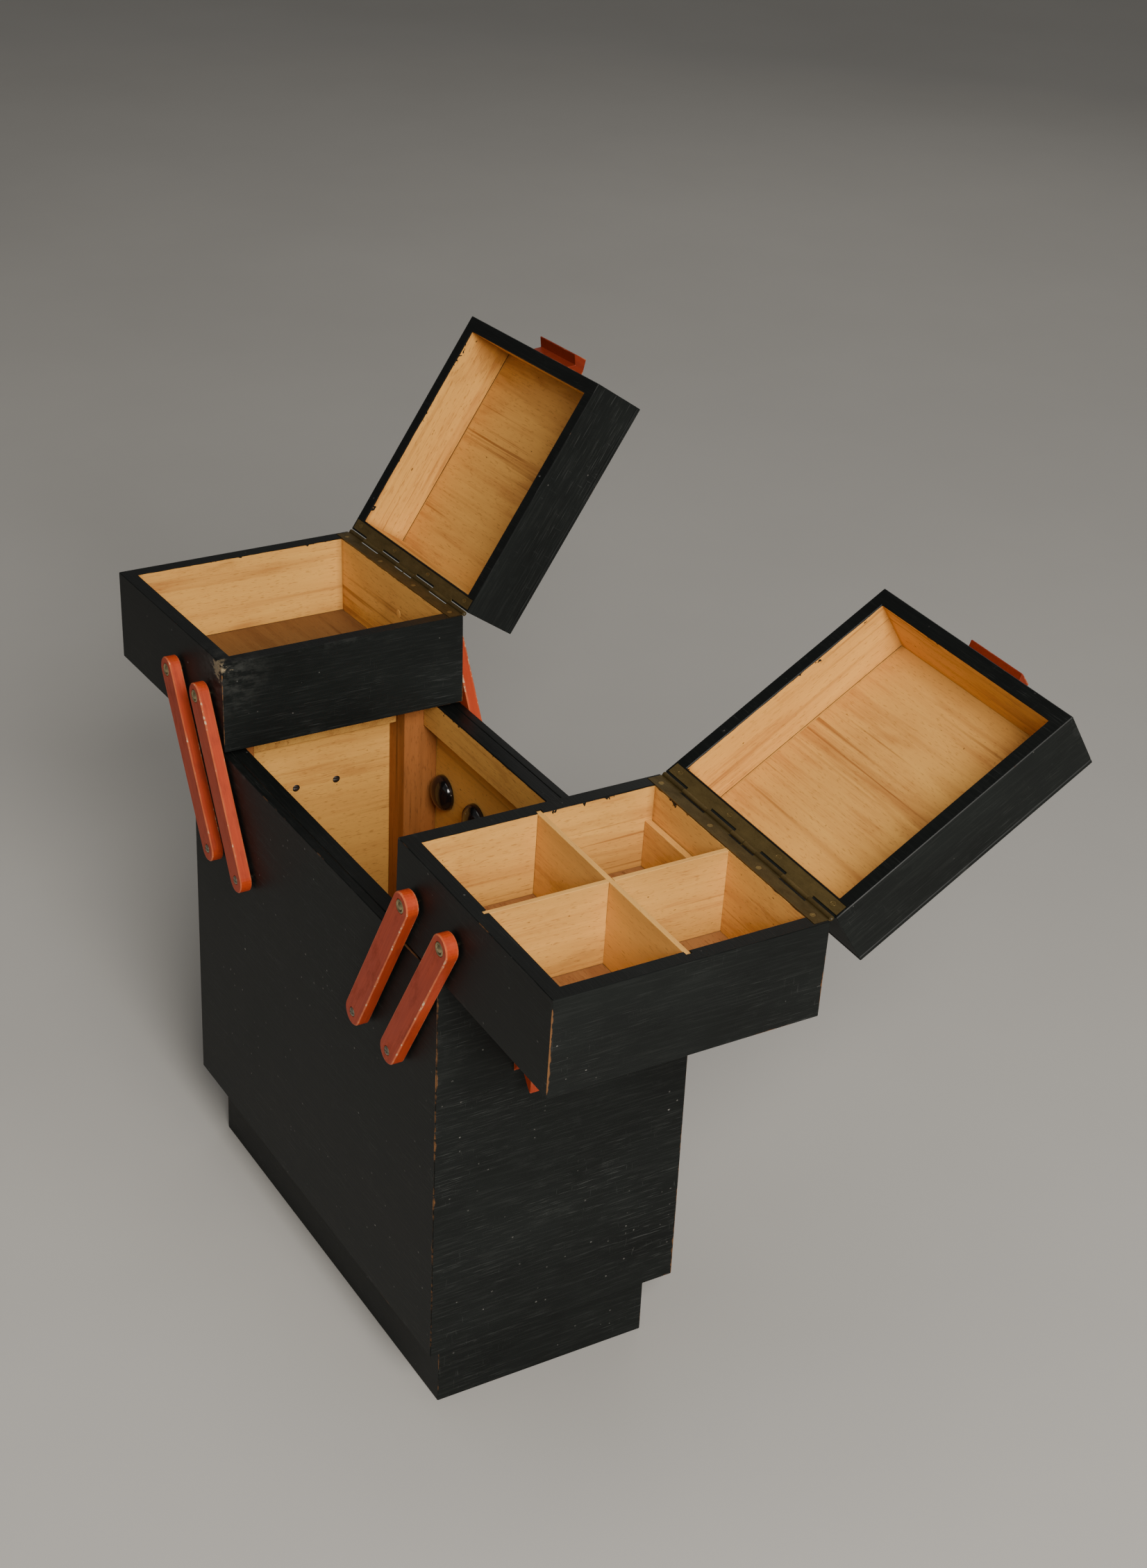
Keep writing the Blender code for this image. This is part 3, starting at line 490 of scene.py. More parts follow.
def knocked_corner(finish, p, chip, seed, paint, height):
    """Broken wood round the point chip and rubbed paint further out: (colour, height)."""
    away = finish.node("ShaderNodeVectorMath", {"operation": "DISTANCE"}, {0: p, 1: chip}, 1)
    flakes = finish.noise(finish.stretch(p, (90.0, 90.0, 170.0), (seed, seed, seed)), 1.0, 4.0, 0.65)
    knocked = finish.fade(flakes - away * 18.0, 0.36, 0.42)
    smudge = finish.fade(away, 0.050, 0.004) * finish.fade(flakes, 0.42, 0.66)
    paint = finish.mix(knocked * 0.85, paint, KNOCKED_WOOD)
    return finish.mix(smudge * 0.55, paint, SMUDGE), height - knocked * 1.5


def painted_box(look, name, matrix, half, wall, closed, rim, seed, light, dark, upright=False, flame=1.0,
                rubbed=1.0, corners=0.0, chip=None):
    """Black paint outside a box and bare wood inside it, with a ragged lap of paint over the rim.

    matrix places the box's middle, half is its half size, wall its thickness, closed how far the closed
    side's boards reach in, and rim is the side it is open on, +1 or -1.  Grain runs along each board: the
    end boards swap x and y, and upright turns the grain up.  chip is the place of a knocked corner.
    """
    finish = Finish(name)
    p = finish.place(matrix)
    x, y, z = finish.parts(p)
    dx, dy, dz = (half[0] - abs(x), half[1] - abs(y), half[2] - abs(z))
    edge = box_edge(finish, dx, dy, dz)
    down = half[2] - z * rim
    up = half[2] + z * rim
    inside = finish.above(finish.least(dx, dy), wall - 0.0004) * finish.above(up, closed)
    on_end = finish.fade(abs(dx - wall), 0.0012, 0.0008)
    outer_end = finish.fade(dx, 0.0012, 0.0008)
    end_face = inside * on_end + (1.0 - inside) * outer_end
    along = finish.choose(end_face, p, finish.join(y, x, z))
    if upright:
        along = finish.join(z, x, y)
    wood, wood_rough, wood_height = birch(finish, along, light, dark, seed, flame)
    ragged = finish.noise(finish.stretch(p, (1.0, 1.0, 0.35), (seed, seed, seed)), 70.0, 3.0, 0.6)
    hooks = finish.fade(finish.noise(p, 170.0, 2.0, 0.5, 0.8), 0.57, 0.64) * finish.fade(ragged, 0.56, 0.64)
    lap = look.paint_lap * 0.4 + ragged * look.paint_lap + hooks * 0.0034
    painted = finish.clamp(1.0 - inside + finish.fade(down, lap + 0.00015, lap - 0.00015))
    # painted shade: the bare wood is darker in the inner corners and along the closed side's board
    corner_shade = finish.fade(finish.most(abs(dx - wall), abs(dy - wall)), 0.006, 0.0) * inside
    floor_shade = finish.fade(up - closed, 0.007, 0.001) * inside
    wood = finish.mix(finish.clamp(corner_shade + floor_shade * 0.5) * 0.4, wood, times(dark, 0.5))
    corner = finish.fade(dz, 0.0, 0.012) * corners
    paint, paint_rough, paint_height = black_paint(finish, look, along, edge, corner, seed, rubbed)
    if chip:
        paint, paint_height = knocked_corner(finish, p, chip, seed, paint, paint_height)
    # painted shade: the paint is darker on the rims' top faces, which are also made glossier
    rim_top_shade_and_gloss = finish.fade(down, 0.0007, 0.0003) * painted
    paint = finish.mix(rim_top_shade_and_gloss * 0.55, paint, PAINTED_RIM_SHADE)
    paint_rough = paint_rough - rim_top_shade_and_gloss * 0.14
    colour = finish.mix(painted, wood, paint)
    rough = wood_rough * (1.0 - painted) + paint_rough * painted
    height = wood_height * (1.0 - painted) + paint_height * painted + painted * inside * 0.4
    return finish.surface(colour, rough, 0.0, height, 0.0003, 0.55, 0.14)


def bare_board(look, name, matrix, top, seed, axis):
    """Bare wood on a divider: its grain runs along axis, and its upper edge is paler end grain."""
    finish = Finish(name)
    p = finish.place(matrix)
    x, y, z = finish.parts(p)
    along = p if axis == 0 else finish.join(y, x, z)
    light, dark = tuple(look.birch_light), tuple(look.birch_dark)
    colour, rough, height = birch(finish, along, light, dark, seed, 0.7)
    rim = finish.fade(z, top - 0.0004, top - 0.0001)
    layers = finish.maths("SINE", (y if axis == 0 else x) * 4200.0) * 0.5 + 0.5
    colour = finish.mix(rim * (0.15 + layers * 0.30), colour, light)
    fingers = finish.noise(finish.stretch(p, (30.0, 30.0, 30.0)), 1.0, 4.0, 0.6)
    handled = finish.fade(z, top - 0.012, top) * fingers
    colour = finish.mix(handled * 0.30, colour, times(dark, 0.6))
    return finish.surface(colour, rough, 0.0, height, 0.0003, 0.5)


def red_paint(look, name, matrix, edge_of, seed, shade=1.0):
    """Brick red paint; edge_of gives the distance to the nearest edge from the piece's own x, y, z.

    Grain shows through along z.  Paint is rubbed thin where that distance is under a wandering width, and
    chipped in its inner half.
    """
    finish = Finish(name)
    p = finish.place(matrix)
    x, y, z = finish.parts(p)
    edge = edge_of(finish, x, y, z)
    at = (seed * 1.9, seed * 3.3, seed * 0.7)
    along = finish.join(z, x, y)
    grain = finish.noise(finish.stretch(along, (18.0, 700.0, 700.0), at), 1.0, 3.0, 0.6)
    cloud = finish.noise(finish.stretch(along, (22.0, 60.0, 60.0), at), 1.0, 4.0, 0.6)
    dirt = finish.fade(finish.noise(finish.stretch(along, (35.0, 90.0, 90.0), at), 1.0, 6.0, 0.7), 0.50, 0.80)
    nick = finish.noise(p, 260.0, 3.0, 0.6)
    patch = finish.noise(finish.stretch(p, (40.0, 40.0, 40.0), at), 1.0, 4.0, 0.6)
    # a shade under 1 darkens the whole red as painted shade
    red = times(look.red, shade)
    colour = finish.mix(cloud, times(red, 0.78), times(red, 1.18, 1.6, 1.7))
    colour = finish.mix(finish.fade(grain, 0.35, 0.75) * 0.45, colour, times(red, 0.55, 0.45, 0.5))
    colour = finish.mix(dirt * 0.55, colour, ARM_DIRT)
    width = 0.0006 + finish.clamp(patch * 3.0 - 1.1) * nick * 0.0022
    rubbed = finish.fade(edge, width + 0.0004, width * 0.4)
    colour = finish.mix(rubbed * 0.55, colour, RUBBED_RED)
    chip = finish.fade(edge, width * 0.9, width * 0.5) * finish.fade(nick * patch, 0.30, 0.36)
    colour = finish.mix(chip, colour, CHIPPED_RED)
    rough = 0.33 + cloud * 0.14 + dirt * 0.2 + chip * 0.2 + grain * 0.06
    height = grain * 0.4 - chip * 0.9 - rubbed * 0.2
    return finish.surface(colour, rough, 0.0, height, 0.00025, 0.5, 0.22)


def old_metal(name, colour, seed, rough=0.36, metal=0.9, tarnish=0.5, matrix=None):
    """Handled metal: tarnish gathers in blotches, and fine scratches catch the light."""
    finish = Finish(name)
    p = finish.place(matrix or Matrix.Identity(4))
    at = (seed, seed * 2.0, seed * 3.0)
    blotch = finish.noise(finish.stretch(p, (60.0, 140.0, 140.0), at), 1.0, 5.0, 0.65)
    fine = finish.noise(finish.stretch(p, (240.0, 1500.0, 1500.0), at), 1.0, 2.0, 0.6)
    spots = finish.noise(finish.stretch(p, (900.0, 900.0, 900.0), at), 1.0, 3.0, 0.6)
    spots = finish.fade(spots, 0.58, 0.75)
    shade = finish.mix(finish.fade(blotch, 0.35, 0.7) * tarnish, colour, times(colour, 0.32))
    shade = finish.mix(spots * tarnish, shade, times(colour, 0.2))
    shade = finish.mix(finish.fade(fine, 0.62, 0.8) * 0.35, shade, lighter(colour, 2.2))
    rough = rough + blotch * 0.22 + spots * 0.2
    return finish.surface(shade, rough, metal, fine * 0.5 - spots * 0.5, 0.00012, 0.5, 0.5)


def enamel(name, colour):
    """Glossy black enamel with small chips."""
    finish = Finish(name)
    p = finish.place(Matrix.Identity(4))
    wave = finish.noise(p, 130.0, 3.0, 0.5)
    chips = finish.dots(p, 260.0, 0.16, 0.05)
    dust = finish.fade(finish.noise(p, 900.0, 3.0, 0.6), 0.6, 0.85)
    shade = finish.mix(chips * 0.8, colour, ENAMEL_CHIP)
    shade = finish.mix(dust * 0.12, shade, DUST)
    rough = 0.10 + wave * 0.10 + chips * 0.3 + dust * 0.15
    return finish.surface(shade, rough, 0.0, wave * 0.5 - chips, 0.0002, 0.3, 0.5, 0.4)


# ---- new surfaces ----
def grid_mesh(name, points, loop=True):
    """Mesh over a grid of points: rows run along the profile and columns round it.

    A first or last row whose points coincide becomes one pole with a fan of triangles.
    """
    rows, columns, _ = points.shape
    flat = points.reshape(-1, 3)
    index = np.arange(rows * columns).reshape(rows, columns)
    after = np.roll(index, -1, axis=1)
    if not loop:
        index, after = index[:, :-1], index[:, 1:]
    quads = np.stack([index[:-1], after[:-1], after[1:], index[1:]], axis=-1).reshape(-1, 4)
    first_pole = np.ptp(points[0], axis=0).max() < 1e-7
    last_pole = np.ptp(points[-1], axis=0).max() < 1e-7
    owner = np.arange(rows * columns)
    if first_pole:
        owner[:columns] = 0
    if last_pole:
        owner[-columns:] = (rows - 1) * columns
    quads = owner[quads]
    used, renumbered = np.unique(quads, return_inverse=True)
    quads = renumbered.reshape(-1, 4)
    triangles = (quads[:, 0] == quads[:, 1]), (quads[:, 2] == quads[:, 3])
    faces = [quads[~triangles[0] & ~triangles[1]].tolist(), quads[triangles[0]][:, 1:].tolist(),
             quads[triangles[1]][:, :3].tolist()]
    mesh = bpy.data.meshes.new(name)
    mesh.from_pydata(flat[used].tolist(), [], faces[0] + faces[1] + faces[2])
    mesh.shade_smooth()
    return mesh


def add_piece(name, mesh, body, finish):
    """Links a finished piece at the origin and sets it to ride on its body."""
    piece = bpy.data.objects.new(name, mesh)
    bpy.context.scene.collection.objects.link(piece)
    mesh.materials.append(finish)
    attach(piece, body)
    return piece


def turned(matrix, along, radius, sides=48, slot_width=0.0, slot_depth=0.0):
    """Points of a surface of revolution about Z of matrix.

    Each row is one profile point (along, radius) at every angle, at x = radius cos, y = radius sin and
    z = -along, and it goes round clockwise so that faces point outwards.  Where a slot is asked for, the
    rows of the head sink by its depth wherever a point lies within half its width of the middle line.
    """
    angle = -np.linspace(0.0, 2.0 * math.pi, sides, endpoint=False)
    x = radius[:, None] * np.cos(angle)
    y = radius[:, None] * np.sin(angle)
    z = np.repeat(-along[:, None], sides, axis=1)
    if slot_width:
        top = (along < along.min() + slot_depth * 2.0)[:, None]
        inside = np.clip((slot_width / 2 - np.abs(y)) / (slot_width * 0.12) + 0.5, 0.0, 1.0)
        z = z - slot_depth * inside * top
    points = np.stack([x, y, z, np.ones_like(x)], axis=-1) @ np.array(matrix).T
    return points[..., :3]


def facing(spot, out):
    """Matrix at spot whose +Z points out."""
    return Matrix.Translation(spot) @ Vector(out).to_track_quat("Z", "Y").to_matrix().to_4x4()


def rounded(corners, radius, steps=5):
    """A profile through corners with each inner corner replaced by a short curve: a quadratic that starts
    and ends radius away from the corner along its two sides."""
    corners = np.array(corners, dtype=float)
    out = [corners[0]]
    share = np.linspace(0.0, 1.0, steps)[:, None]
    for before, corner, after in zip(corners, corners[1:], corners[2:]):
        reach_in = min(radius, np.linalg.norm(before - corner) / 2.2)
        reach_out = min(radius, np.linalg.norm(after - corner) / 2.2)
        start = corner + (before - corner) / np.linalg.norm(before - corner) * reach_in
        end = corner + (after - corner) / np.linalg.norm(after - corner) * reach_out
        out.extend(start * (1 - share) ** 2 + corner * 2 * share * (1 - share) + end * share ** 2)
    out.append(corners[-1])
    out = np.array(out)
    return out[:, 0], out[:, 1]


def repaint(finish, *nodes):
    """Gives CAD nodes one finish in place of their plain ones."""
    for node in nodes:
        slots = frame["nodes"][node].data.materials
        slots.clear()
        slots.append(finish)


# ---- fastenings ----
def fastening_ends(name, end):
    """Middle of a solid fastening and its outer and inner ends along Y."""
    low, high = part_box(name)
    outer, inner = (high.y, low.y) if end == "back" else (low.y, high.y)
    return (low + high) / 2, outer, inner


def add_bolt(name, end, finish):
    """Slotted pan head of a pivot bolt, with its shank."""
    middle, outer, _ = fastening_ends(name, end)
    outline = [(0.0, 0.0), (0.0, 0.0022), (0.0009, 0.0039), (0.0028, 0.0040), (0.0028, 0.003),
               (0.0200, 0.0030), (0.0200, 0.0)]
    place = facing((middle.x, outer, middle.z), (0.0, ENDS[end], 0.0))
    mesh = grid_mesh(name + "_head", turned(place, *rounded(outline, 0.0006), 40, 0.0011, 0.0007))
    bolt = add_piece(name + "_head", mesh, "chest", finish)
    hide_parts(name)


def add_cap(name, end, radius, finish):
    """Domed cap nut inside the chest: a short straight skirt, then a dome whose radius falls as a cosine
    to the power 0.9 while it rises as a sine."""
    middle, _, inner = fastening_ends(name, end)
    quarter = np.linspace(0.0, math.pi / 2, 14)
    rise = np.concatenate([[0.0], [0.0, 0.0004], CAP_SKIRT + (CAP_RISE - CAP_SKIRT) * np.sin(quarter)])
    wide = np.concatenate([[0.0], [radius * 0.97, radius], radius * np.cos(quarter) ** 0.9])
    wide[-1] = 0.0
    foot = (middle.x, inner + ENDS[end] * (CAP_RISE + CAP_SHORT), middle.z)
    place = facing(foot, (0.0, -ENDS[end], 0.0))
    mesh = grid_mesh(name + "_cap", turned(place, -rise[::-1], wide[::-1], 64))
    cap = add_piece(name + "_cap", mesh, "chest", finish)
    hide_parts(name)


def add_tray_screw(name, side, bar, end, finish):
    """Domed screw head in a dished ring, with its shank."""
    _, outer, _ = fastening_ends(name, end)
    outline = [(0.0, 0.0), (0.0001, 0.0012), (0.0006, 0.0024), (0.0014, 0.0031), (0.0018, 0.0033),
               (0.0018, 0.0036), (0.0007, 0.0042), (0.0005, 0.0050), (0.0012, 0.0058), (0.0030, 0.0058),
               (0.0030, 0.0024), (0.0200, 0.0024), (0.0206, 0.0)]
    pivot = upper_pivot(side, bar)
    place = facing((pivot.x, outer, pivot.z), (0.0, ENDS[end], 0.0))
    mesh = grid_mesh(name + "_ring", turned(place, *rounded(outline, 0.0004), 56))
    screw = add_piece(name + "_ring", mesh, side + "_tray", finish)
    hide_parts(name)


# ---- stage ----
def add_floor(scene):
    """Large pale floor at z = 0."""
    finish = Finish("pale_floor")
    cloud = finish.noise(finish.place(Matrix.Identity(4)), 1.6, 4.0, 0.6)
    pale = finish.surface(finish.mix(cloud, FLOOR_DARK, FLOOR_LIGHT), 0.62 + cloud * 0.12)
    corner = np.array([-FLOOR_HALF, FLOOR_HALF])
    x, y = np.meshgrid(corner, corner)
    mesh = grid_mesh("floor", np.stack([x, y, np.zeros_like(x)], axis=-1), False)
    floor = bpy.data.objects.new("floor", mesh)
    mesh.materials.append(pale)
    scene.collection.objects.link(floor)


def add_lights(scene):
    """Soft round lights that point at the middle of the box, and a dim even room."""
    aim = Vector((0.0, CENTRE_Y, LIGHT_AIM_HEIGHT))
    for name, spot, width, power in LIGHTS:
        data = bpy.data.lights.new(name, "AREA")
        data.shape = "DISK"
        data.size = width
        data.energy = power
        data.color = LIGHT_COLOUR
        light = bpy.data.objects.new(name, data)
        light.location = spot
        light.rotation_euler = (aim - Vector(spot)).to_track_quat("-Z", "Y").to_euler()
        scene.collection.objects.link(light)
    world = bpy.data.worlds.new("soft_room")
    world.use_nodes = True
    sky = world.node_tree.nodes["Background"].inputs
    sky["Color"].default_value = ROOM_COLOUR
    sky["Strength"].default_value = ROOM_STRENGTH
    scene.world = world


def add_camera(scene):
    """Camera at CAMERA_PLACE: back points from the scene to it by azimuth and elevation, and right and up
    are then turned about back by the roll."""
    azimuth, elevation, roll = (math.radians(angle) for angle in CAMERA_TURN)
    back = Vector((math.sin(azimuth) * math.cos(elevation), -math.cos(azimuth) * math.cos(elevation),
                   math.sin(elevation)))
    right = (-back).cross(Vector((0.0, 0.0, 1.0))).normalized()
    up = right.cross(-back)
    rolled_right = right * math.cos(roll) + up * math.sin(roll)
    rolled_up = up * math.cos(roll) - right * math.sin(roll)
    axes = Matrix((rolled_right, rolled_up, back)).transposed().to_4x4()
    data = bpy.data.cameras.new("camera")
    data.lens = CAMERA_LENS
    data.sensor_width = 36.0
    data.sensor_fit = "AUTO"
    camera = bpy.data.objects.new("camera", data)
    camera.matrix_world = Matrix.Translation(CAMERA_PLACE) @ axes
    scene.collection.objects.link(camera)
    scene.camera = camera


# ---- operators ----
class SEWINGBOX_OT_stage(bpy.types.Operator):
    """Pale floor, soft lights and the camera"""
    bl_idname = "sewing_box.stage"
    bl_label = "Stage"

    def execute(self, context):
        add_floor(context.scene)
        add_lights(context.scene)
        add_camera(context.scene)
        return {"FINISHED"}


class SEWINGBOX_OT_chest(bpy.types.Operator):
    """Paint and bare wood of the chest, its plinth, posts and rails"""
    bl_idname = "sewing_box.chest"
    bl_label = "Chest"

    def execute(self, context):
        look = context.scene.sewing_box_look
        light, dark = tuple(look.birch_light), tuple(look.birch_dark)
        middle = Matrix.Translation((CHEST_LOW + CHEST_HIGH) / 2)
        half = (CHEST_HIGH - CHEST_LOW) / 2
        walls = painted_box(look, "chest_paint", middle, half, PANEL, 0.0, 1, 1.0, light, dark, flame=0.5,
                            rubbed=1.4, corners=1.6)
        repaint(walls, *("chest_" + side + "_wall" for side in (*ENDS, *SIDES)))
        # closed at -1 leaves the wood bare all the way down, and wall at -1 leaves it bare on all sides
        ply = painted_box(look, "chest_bottom_ply", middle, half, -1.0, -1.0, 1, 2.0, light, dark)
        repaint(ply, "chest_bottom")
        posts = painted_box(look, "post_wood", middle, half, PANEL, -1.0, 1, 3.0, times(look.post, 1.15),
                            times(look.post, 0.5), upright=True, flame=1.4)
        repaint(posts, *(side + "_" + end + "_post" for side in SIDES for end in ENDS))
        rails = painted_box(look, "rail_wood", middle, half, PANEL, -1.0, 1, 4.0, times(light, 0.9),
                            times(dark, 0.85))
        repaint(rails, *(side + "_rail" for side in (*ENDS, *SIDES)))
        low_middle = Matrix.Translation((PLINTH_LOW + PLINTH_HIGH) / 2)
        low_half = (PLINTH_HIGH - PLINTH_LOW) / 2
        plinth = painted_box(look, "plinth_paint", low_middle, low_half, PLINTH_WALL, -1.0, 1, 5.0, light,
                             dark, rubbed=1.4, corners=1.4)
        repaint(plinth, "plinth_frame")
        return {"FINISHED"}


class SEWINGBOX_OT_trays(bpy.types.Operator):
    """Paint and bare wood of the trays, their dividers and their lids"""
    bl_idname = "sewing_box.trays"
    bl_label = "Trays and lids"

    def execute(self, context):
        look = context.scene.sewing_box_look
        light, dark = tuple(look.birch_light), tuple(look.birch_dark)
        half = (TRAY_LENGTH / 2, TRAY_WIDTH / 2, TRAY_HEIGHT / 2)
        lid_half = (TRAY_LENGTH / 2, TRAY_WIDTH / 2, LID_HEIGHT / 2)
        chipped_corner = (half[0] - CHIP_IN, -half[1], half[2] - CHIP_DOWN)
        for side, seed, shade, chip in (("left", 6.0, 0.30, chipped_corner), ("right", 8.0, 0.52, None)):
            tray = painted_box(look, side + "_tray_paint", tray_box(side), half, WALL, FLOOR_MIDDLE, 1, seed,
                               light, dark, corners=1.0, chip=chip)
            repaint(tray, side + "_tray_box")
            # partly painted shade: the floors are darker than the walls partly by their own wood and partly
            # as painted shade, the left floor most
            floor_tone_and_shade = (shade * 0.96, shade * 0.90, shade * 1.25)
            floor = painted_box(look, side + "_floor_wood", tray_box(side), half, WALL, FLOOR_MIDDLE, 1,
                                seed + 0.5, times(light, *floor_tone_and_shade), times(dark, *floor_tone_and_shade))
            repaint(floor, side + "_tray_floor")
            lid = painted_box(look, side + "_lid_paint", lid_box(side), lid_half, WALL, LID_TOP / 2, -1,
                              seed + 1.0, light, dark, flame=1.2)
            repaint(lid, side + "_lid_box", side + "_lid_top")
        middle = tray_box("right")
        boards = (("long_divider", DIVIDER_TOP, 11.0, 0), ("cross_divider", DIVIDER_TOP, 12.0, 1),
                  ("low_divider", LOW_DIVIDER_TOP, 13.0, 0))
        for name, top, seed, axis in boards:
            repaint(bare_board(look, name + "_wood", middle, top - TRAY_HEIGHT / 2, seed, axis), name)
        return {"FINISHED"}


class SEWINGBOX_OT_red(bpy.types.Operator):
    """Red paint on the arms, the handles and the lids' pulls"""
    bl_idname = "sewing_box.red"
    bl_label = "Arms, handles and pulls"

    def execute(self, context):
        look = context.scene.sewing_box_look
        seed = 20.0
        for side, bar, end in product(SIDES, BARS, ENDS):
            matrix, length = arm_place(side, bar, end)
            name = side + "_" + bar + "_" + end + "_arm"
            repaint(red_paint(look, name + "_paint", matrix, arm_edge(length), seed), name)
            seed += 1.0
        for side in SIDES:
            low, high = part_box(side + "_handle")
            middle = Matrix.Translation((low + high) / 2)
            edge = block_edge((high - low) / 2)
            repaint(red_paint(look, side + "_handle_paint", middle, edge, seed), side + "_handle")
            seed += 1.0
            place = lid_place(side) @ Matrix.Translation((0.0, -AXIS_OUT - TRAY_WIDTH - PULL_OUT, PULL_UP))
            edge = block_edge(PULL_HALF)
            # the pulls' red at half strength is painted shade
            repaint(red_paint(look, side + "_pull_paint", place, edge, seed, 0.5), side + "_pull")
            seed += 1.0
        return {"FINISHED"}


class SEWINGBOX_OT_pivots(bpy.types.Operator):
    """Bolts with domed cap nuts in the chest, and ringed screws at the trays"""
    bl_idname = "sewing_box.pivots"
    bl_label = "Pivot fastenings"

    def execute(self, context):
        look = context.scene.sewing_box_look
        black = enamel("cap_enamel", (0.006, 0.006, 0.0065))
        steel = old_metal("bolt_steel", (0.36, 0.32, 0.24), 2.0, 0.30, 0.95, 0.6)
        brass = old_metal("ring_brass", (0.46, 0.37, 0.20), 4.0, 0.27, 0.95, 0.45)
        for side, bar, end in product(SIDES, BARS, ENDS):
            name = side + "_" + bar + "_" + end
            add_bolt(name + "_bolt", end, steel)
            add_cap(name + "_bolt", end, look.dome / 2, black)
            add_tray_screw(name + "_screw", side, bar, end, brass)
        return {"FINISHED"}


class SEWINGBOX_OT_hinges(bpy.types.Operator):
    """Old brass on the hinges, and their countersunk screws"""
    bl_idname = "sewing_box.hinges"
    bl_label = "Hinges"

    def execute(self, context):
        look = context.scene.sewing_box_look
        pin = old_metal("pin_steel", (0.24, 0.21, 0.15), 5.0)
        screws = old_metal("screw_brass", lighter(look.brass, 1.6), 6.0, 0.30, 0.95, 0.45)
        radius = look.hinge_screw / 2
        along, wide = rounded([(0.0, 0.0), (0.0, radius), (0.0001, radius), (0.0011, 0.0012), (0.0012, 0.0)],
                              0.0001, 3)
        # rings across the flat head give the slot points to sink
        along = np.concatenate([[along[0]], np.zeros(6), along[1:]])
        wide = np.concatenate([[0.0], np.linspace(0.15, 0.9, 6) * radius, wide[1:]])
        for side in SIDES:
            tray_rim = tray_place(side) @ Matrix.Translation((
                SIDES[side] * (TRAY_LENGTH / 2 - PIVOT_FROM_END), TRAY_WIDTH / 2 + AXIS_OUT,
                TRAY_HEIGHT - PIVOT_HEIGHT + AXIS_UP))
            # the tray leaves' brass at 0.72 is painted shade
            for leaf, place, up, shade in (("tray", tray_rim, 1, 0.72), ("lid", lid_place(side), -1, 1.0)):
                node = side + "_hinge_" + leaf + "_leaf"
                brass = times(look.brass, shade)
                repaint(old_metal(node + "_brass", brass, 7.0 + shade, 0.40, 0.88, 0.6, place), node)
                out = place.to_3x3() @ Vector((0.0, 0.0, up))
                for number, x in enumerate(HINGE_SCREW_PLACES):
                    spot = place @ Vector((x, -AXIS_OUT - HINGE_SCREW_IN, -HINGE_SCREW_SINK * up))
                    points = turned(facing(spot, out), along, wide, 32, 0.0007, 0.0004)
                    name = node + "_screw_" + str(number + 1)
                    add_piece(name, grid_mesh(name, points), side + "_" + leaf, screws)
            repaint(pin, side + "_hinge_pin")
        return {"FINISHED"}


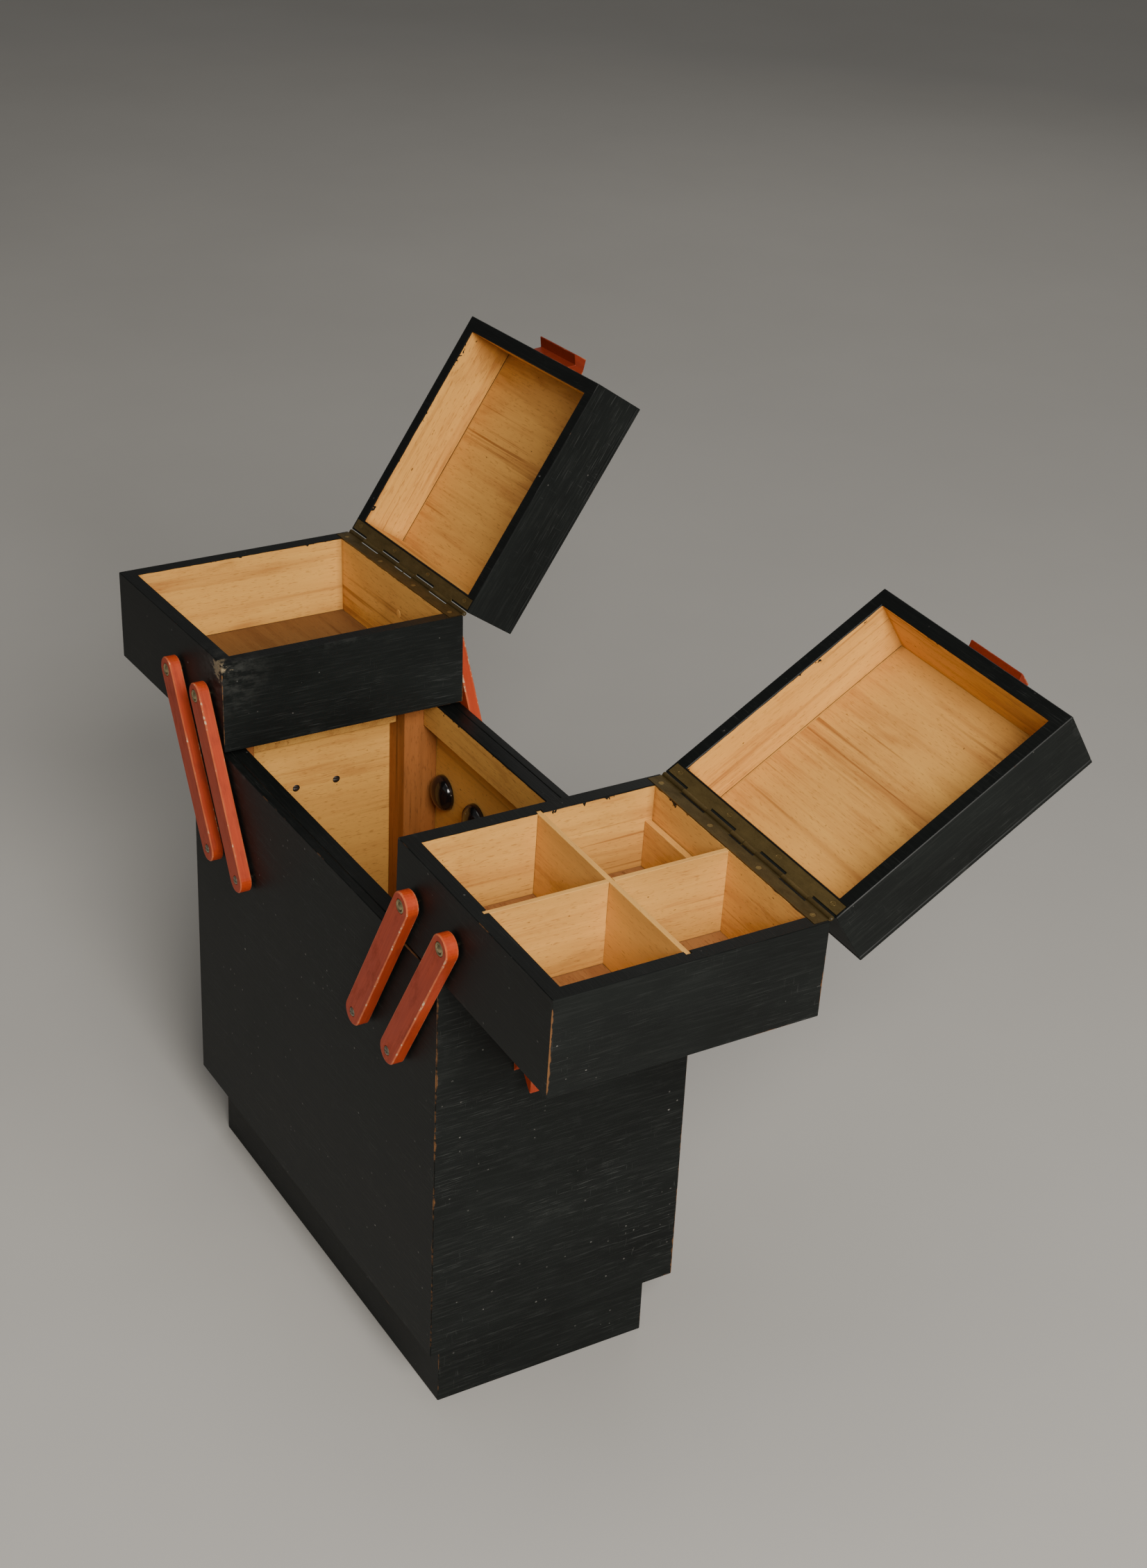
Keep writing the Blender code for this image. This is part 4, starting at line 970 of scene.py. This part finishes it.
class SEWINGBOX_OT_small(bpy.types.Operator):
    """Handle screws inside the chest and the plug in the left tray's back wall"""
    bl_idname = "sewing_box.small"
    bl_label = "Handle screws and plug"

    def execute(self, context):
        look = context.scene.sewing_box_look
        steel = old_metal("handle_screw_steel", (0.10, 0.09, 0.08), 8.0, 0.42, 0.9, 0.6)
        radius = look.handle_screw / 2
        dome = np.linspace(0.0, 1.0, 9)
        along = np.concatenate([0.0009 * dome ** 2, [0.0012, 0.0016]])
        wide = np.concatenate([radius * dome, [radius, 0.0]])
        for side, out in SIDES.items():
            low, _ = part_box(side + "_handle")
            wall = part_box("chest_" + side + "_wall")
            inner = wall[1].x if side == "left" else wall[0].x
            for number, end in enumerate((-0.5, 0.5)):
                spot = (inner + out * 0.0001, CENTRE_Y + end * HANDLE_SCREW_SPACING,
                        low.z + HANDLE_SCREW_RISE)
                points = turned(facing(spot, (-out, 0.0, 0.0)), along, wide, 32, 0.001, 0.0006)
                name = side + "_handle_screw_" + str(number + 1)
                add_piece(name, grid_mesh(name, points), "chest", steel)
        finish = Finish("plug_wood")
        x, y, z = finish.parts(finish.place(tray_box("left")))
        light = lighter(look.birch_light, 1.15)
        colour, rough, height = birch(finish, finish.join(z, x, y), light, tuple(look.birch_dark), 14.0)
        plug = finish.surface(colour, rough, 0.0, height, 0.0002, 0.5)
        spot = tray_box("left") @ Vector((PLUG_ALONG, TRAY_WIDTH / 2 - WALL - PLUG_PROUD,
                                          PLUG_UP - TRAY_HEIGHT / 2))
        along, wide = rounded([(0.0, 0.0), (0.0, 0.0040), (0.0012, 0.0040), (0.0012, 0.0)], 0.0003)
        mesh = grid_mesh("wall_plug", turned(facing(spot, (0.0, -1.0, 0.0)), along, wide, 36))
        add_piece("wall_plug", mesh, "left_tray", plug)
        return {"FINISHED"}


OPERATORS = (SEWINGBOX_OT_stage, SEWINGBOX_OT_chest, SEWINGBOX_OT_trays, SEWINGBOX_OT_red,
             SEWINGBOX_OT_pivots, SEWINGBOX_OT_hinges, SEWINGBOX_OT_small)


class SEWINGBOX_PT_panel(bpy.types.Panel):
    """Buttons for each group of pieces"""
    bl_idname = "SEWINGBOX_PT_panel"
    bl_label = "Sewing box"
    bl_space_type = "VIEW_3D"
    bl_region_type = "UI"
    bl_category = "Sewing box"

    def draw(self, context):
        look = context.scene.sewing_box_look
        for key in look.bl_rna.properties.keys():
            if key not in ("rna_type", "name"):
                self.layout.prop(look, key)
        for operator in OPERATORS:
            self.layout.operator(operator.bl_idname)


CLASSES = (SewingBoxLook, *OPERATORS, SEWINGBOX_PT_panel)


def register():
    for made in CLASSES:
        bpy.utils.register_class(made)
    bpy.types.Scene.sewing_box_look = bpy.props.PointerProperty(type=SewingBoxLook)


def unregister():
    del bpy.types.Scene.sewing_box_look
    for made in reversed(CLASSES):
        bpy.utils.unregister_class(made)


def main():
    register()
    for operator in OPERATORS:
        group, action = operator.bl_idname.split(".")
        getattr(getattr(bpy.ops, group), action)()


if __name__ == "__main__":
    main()
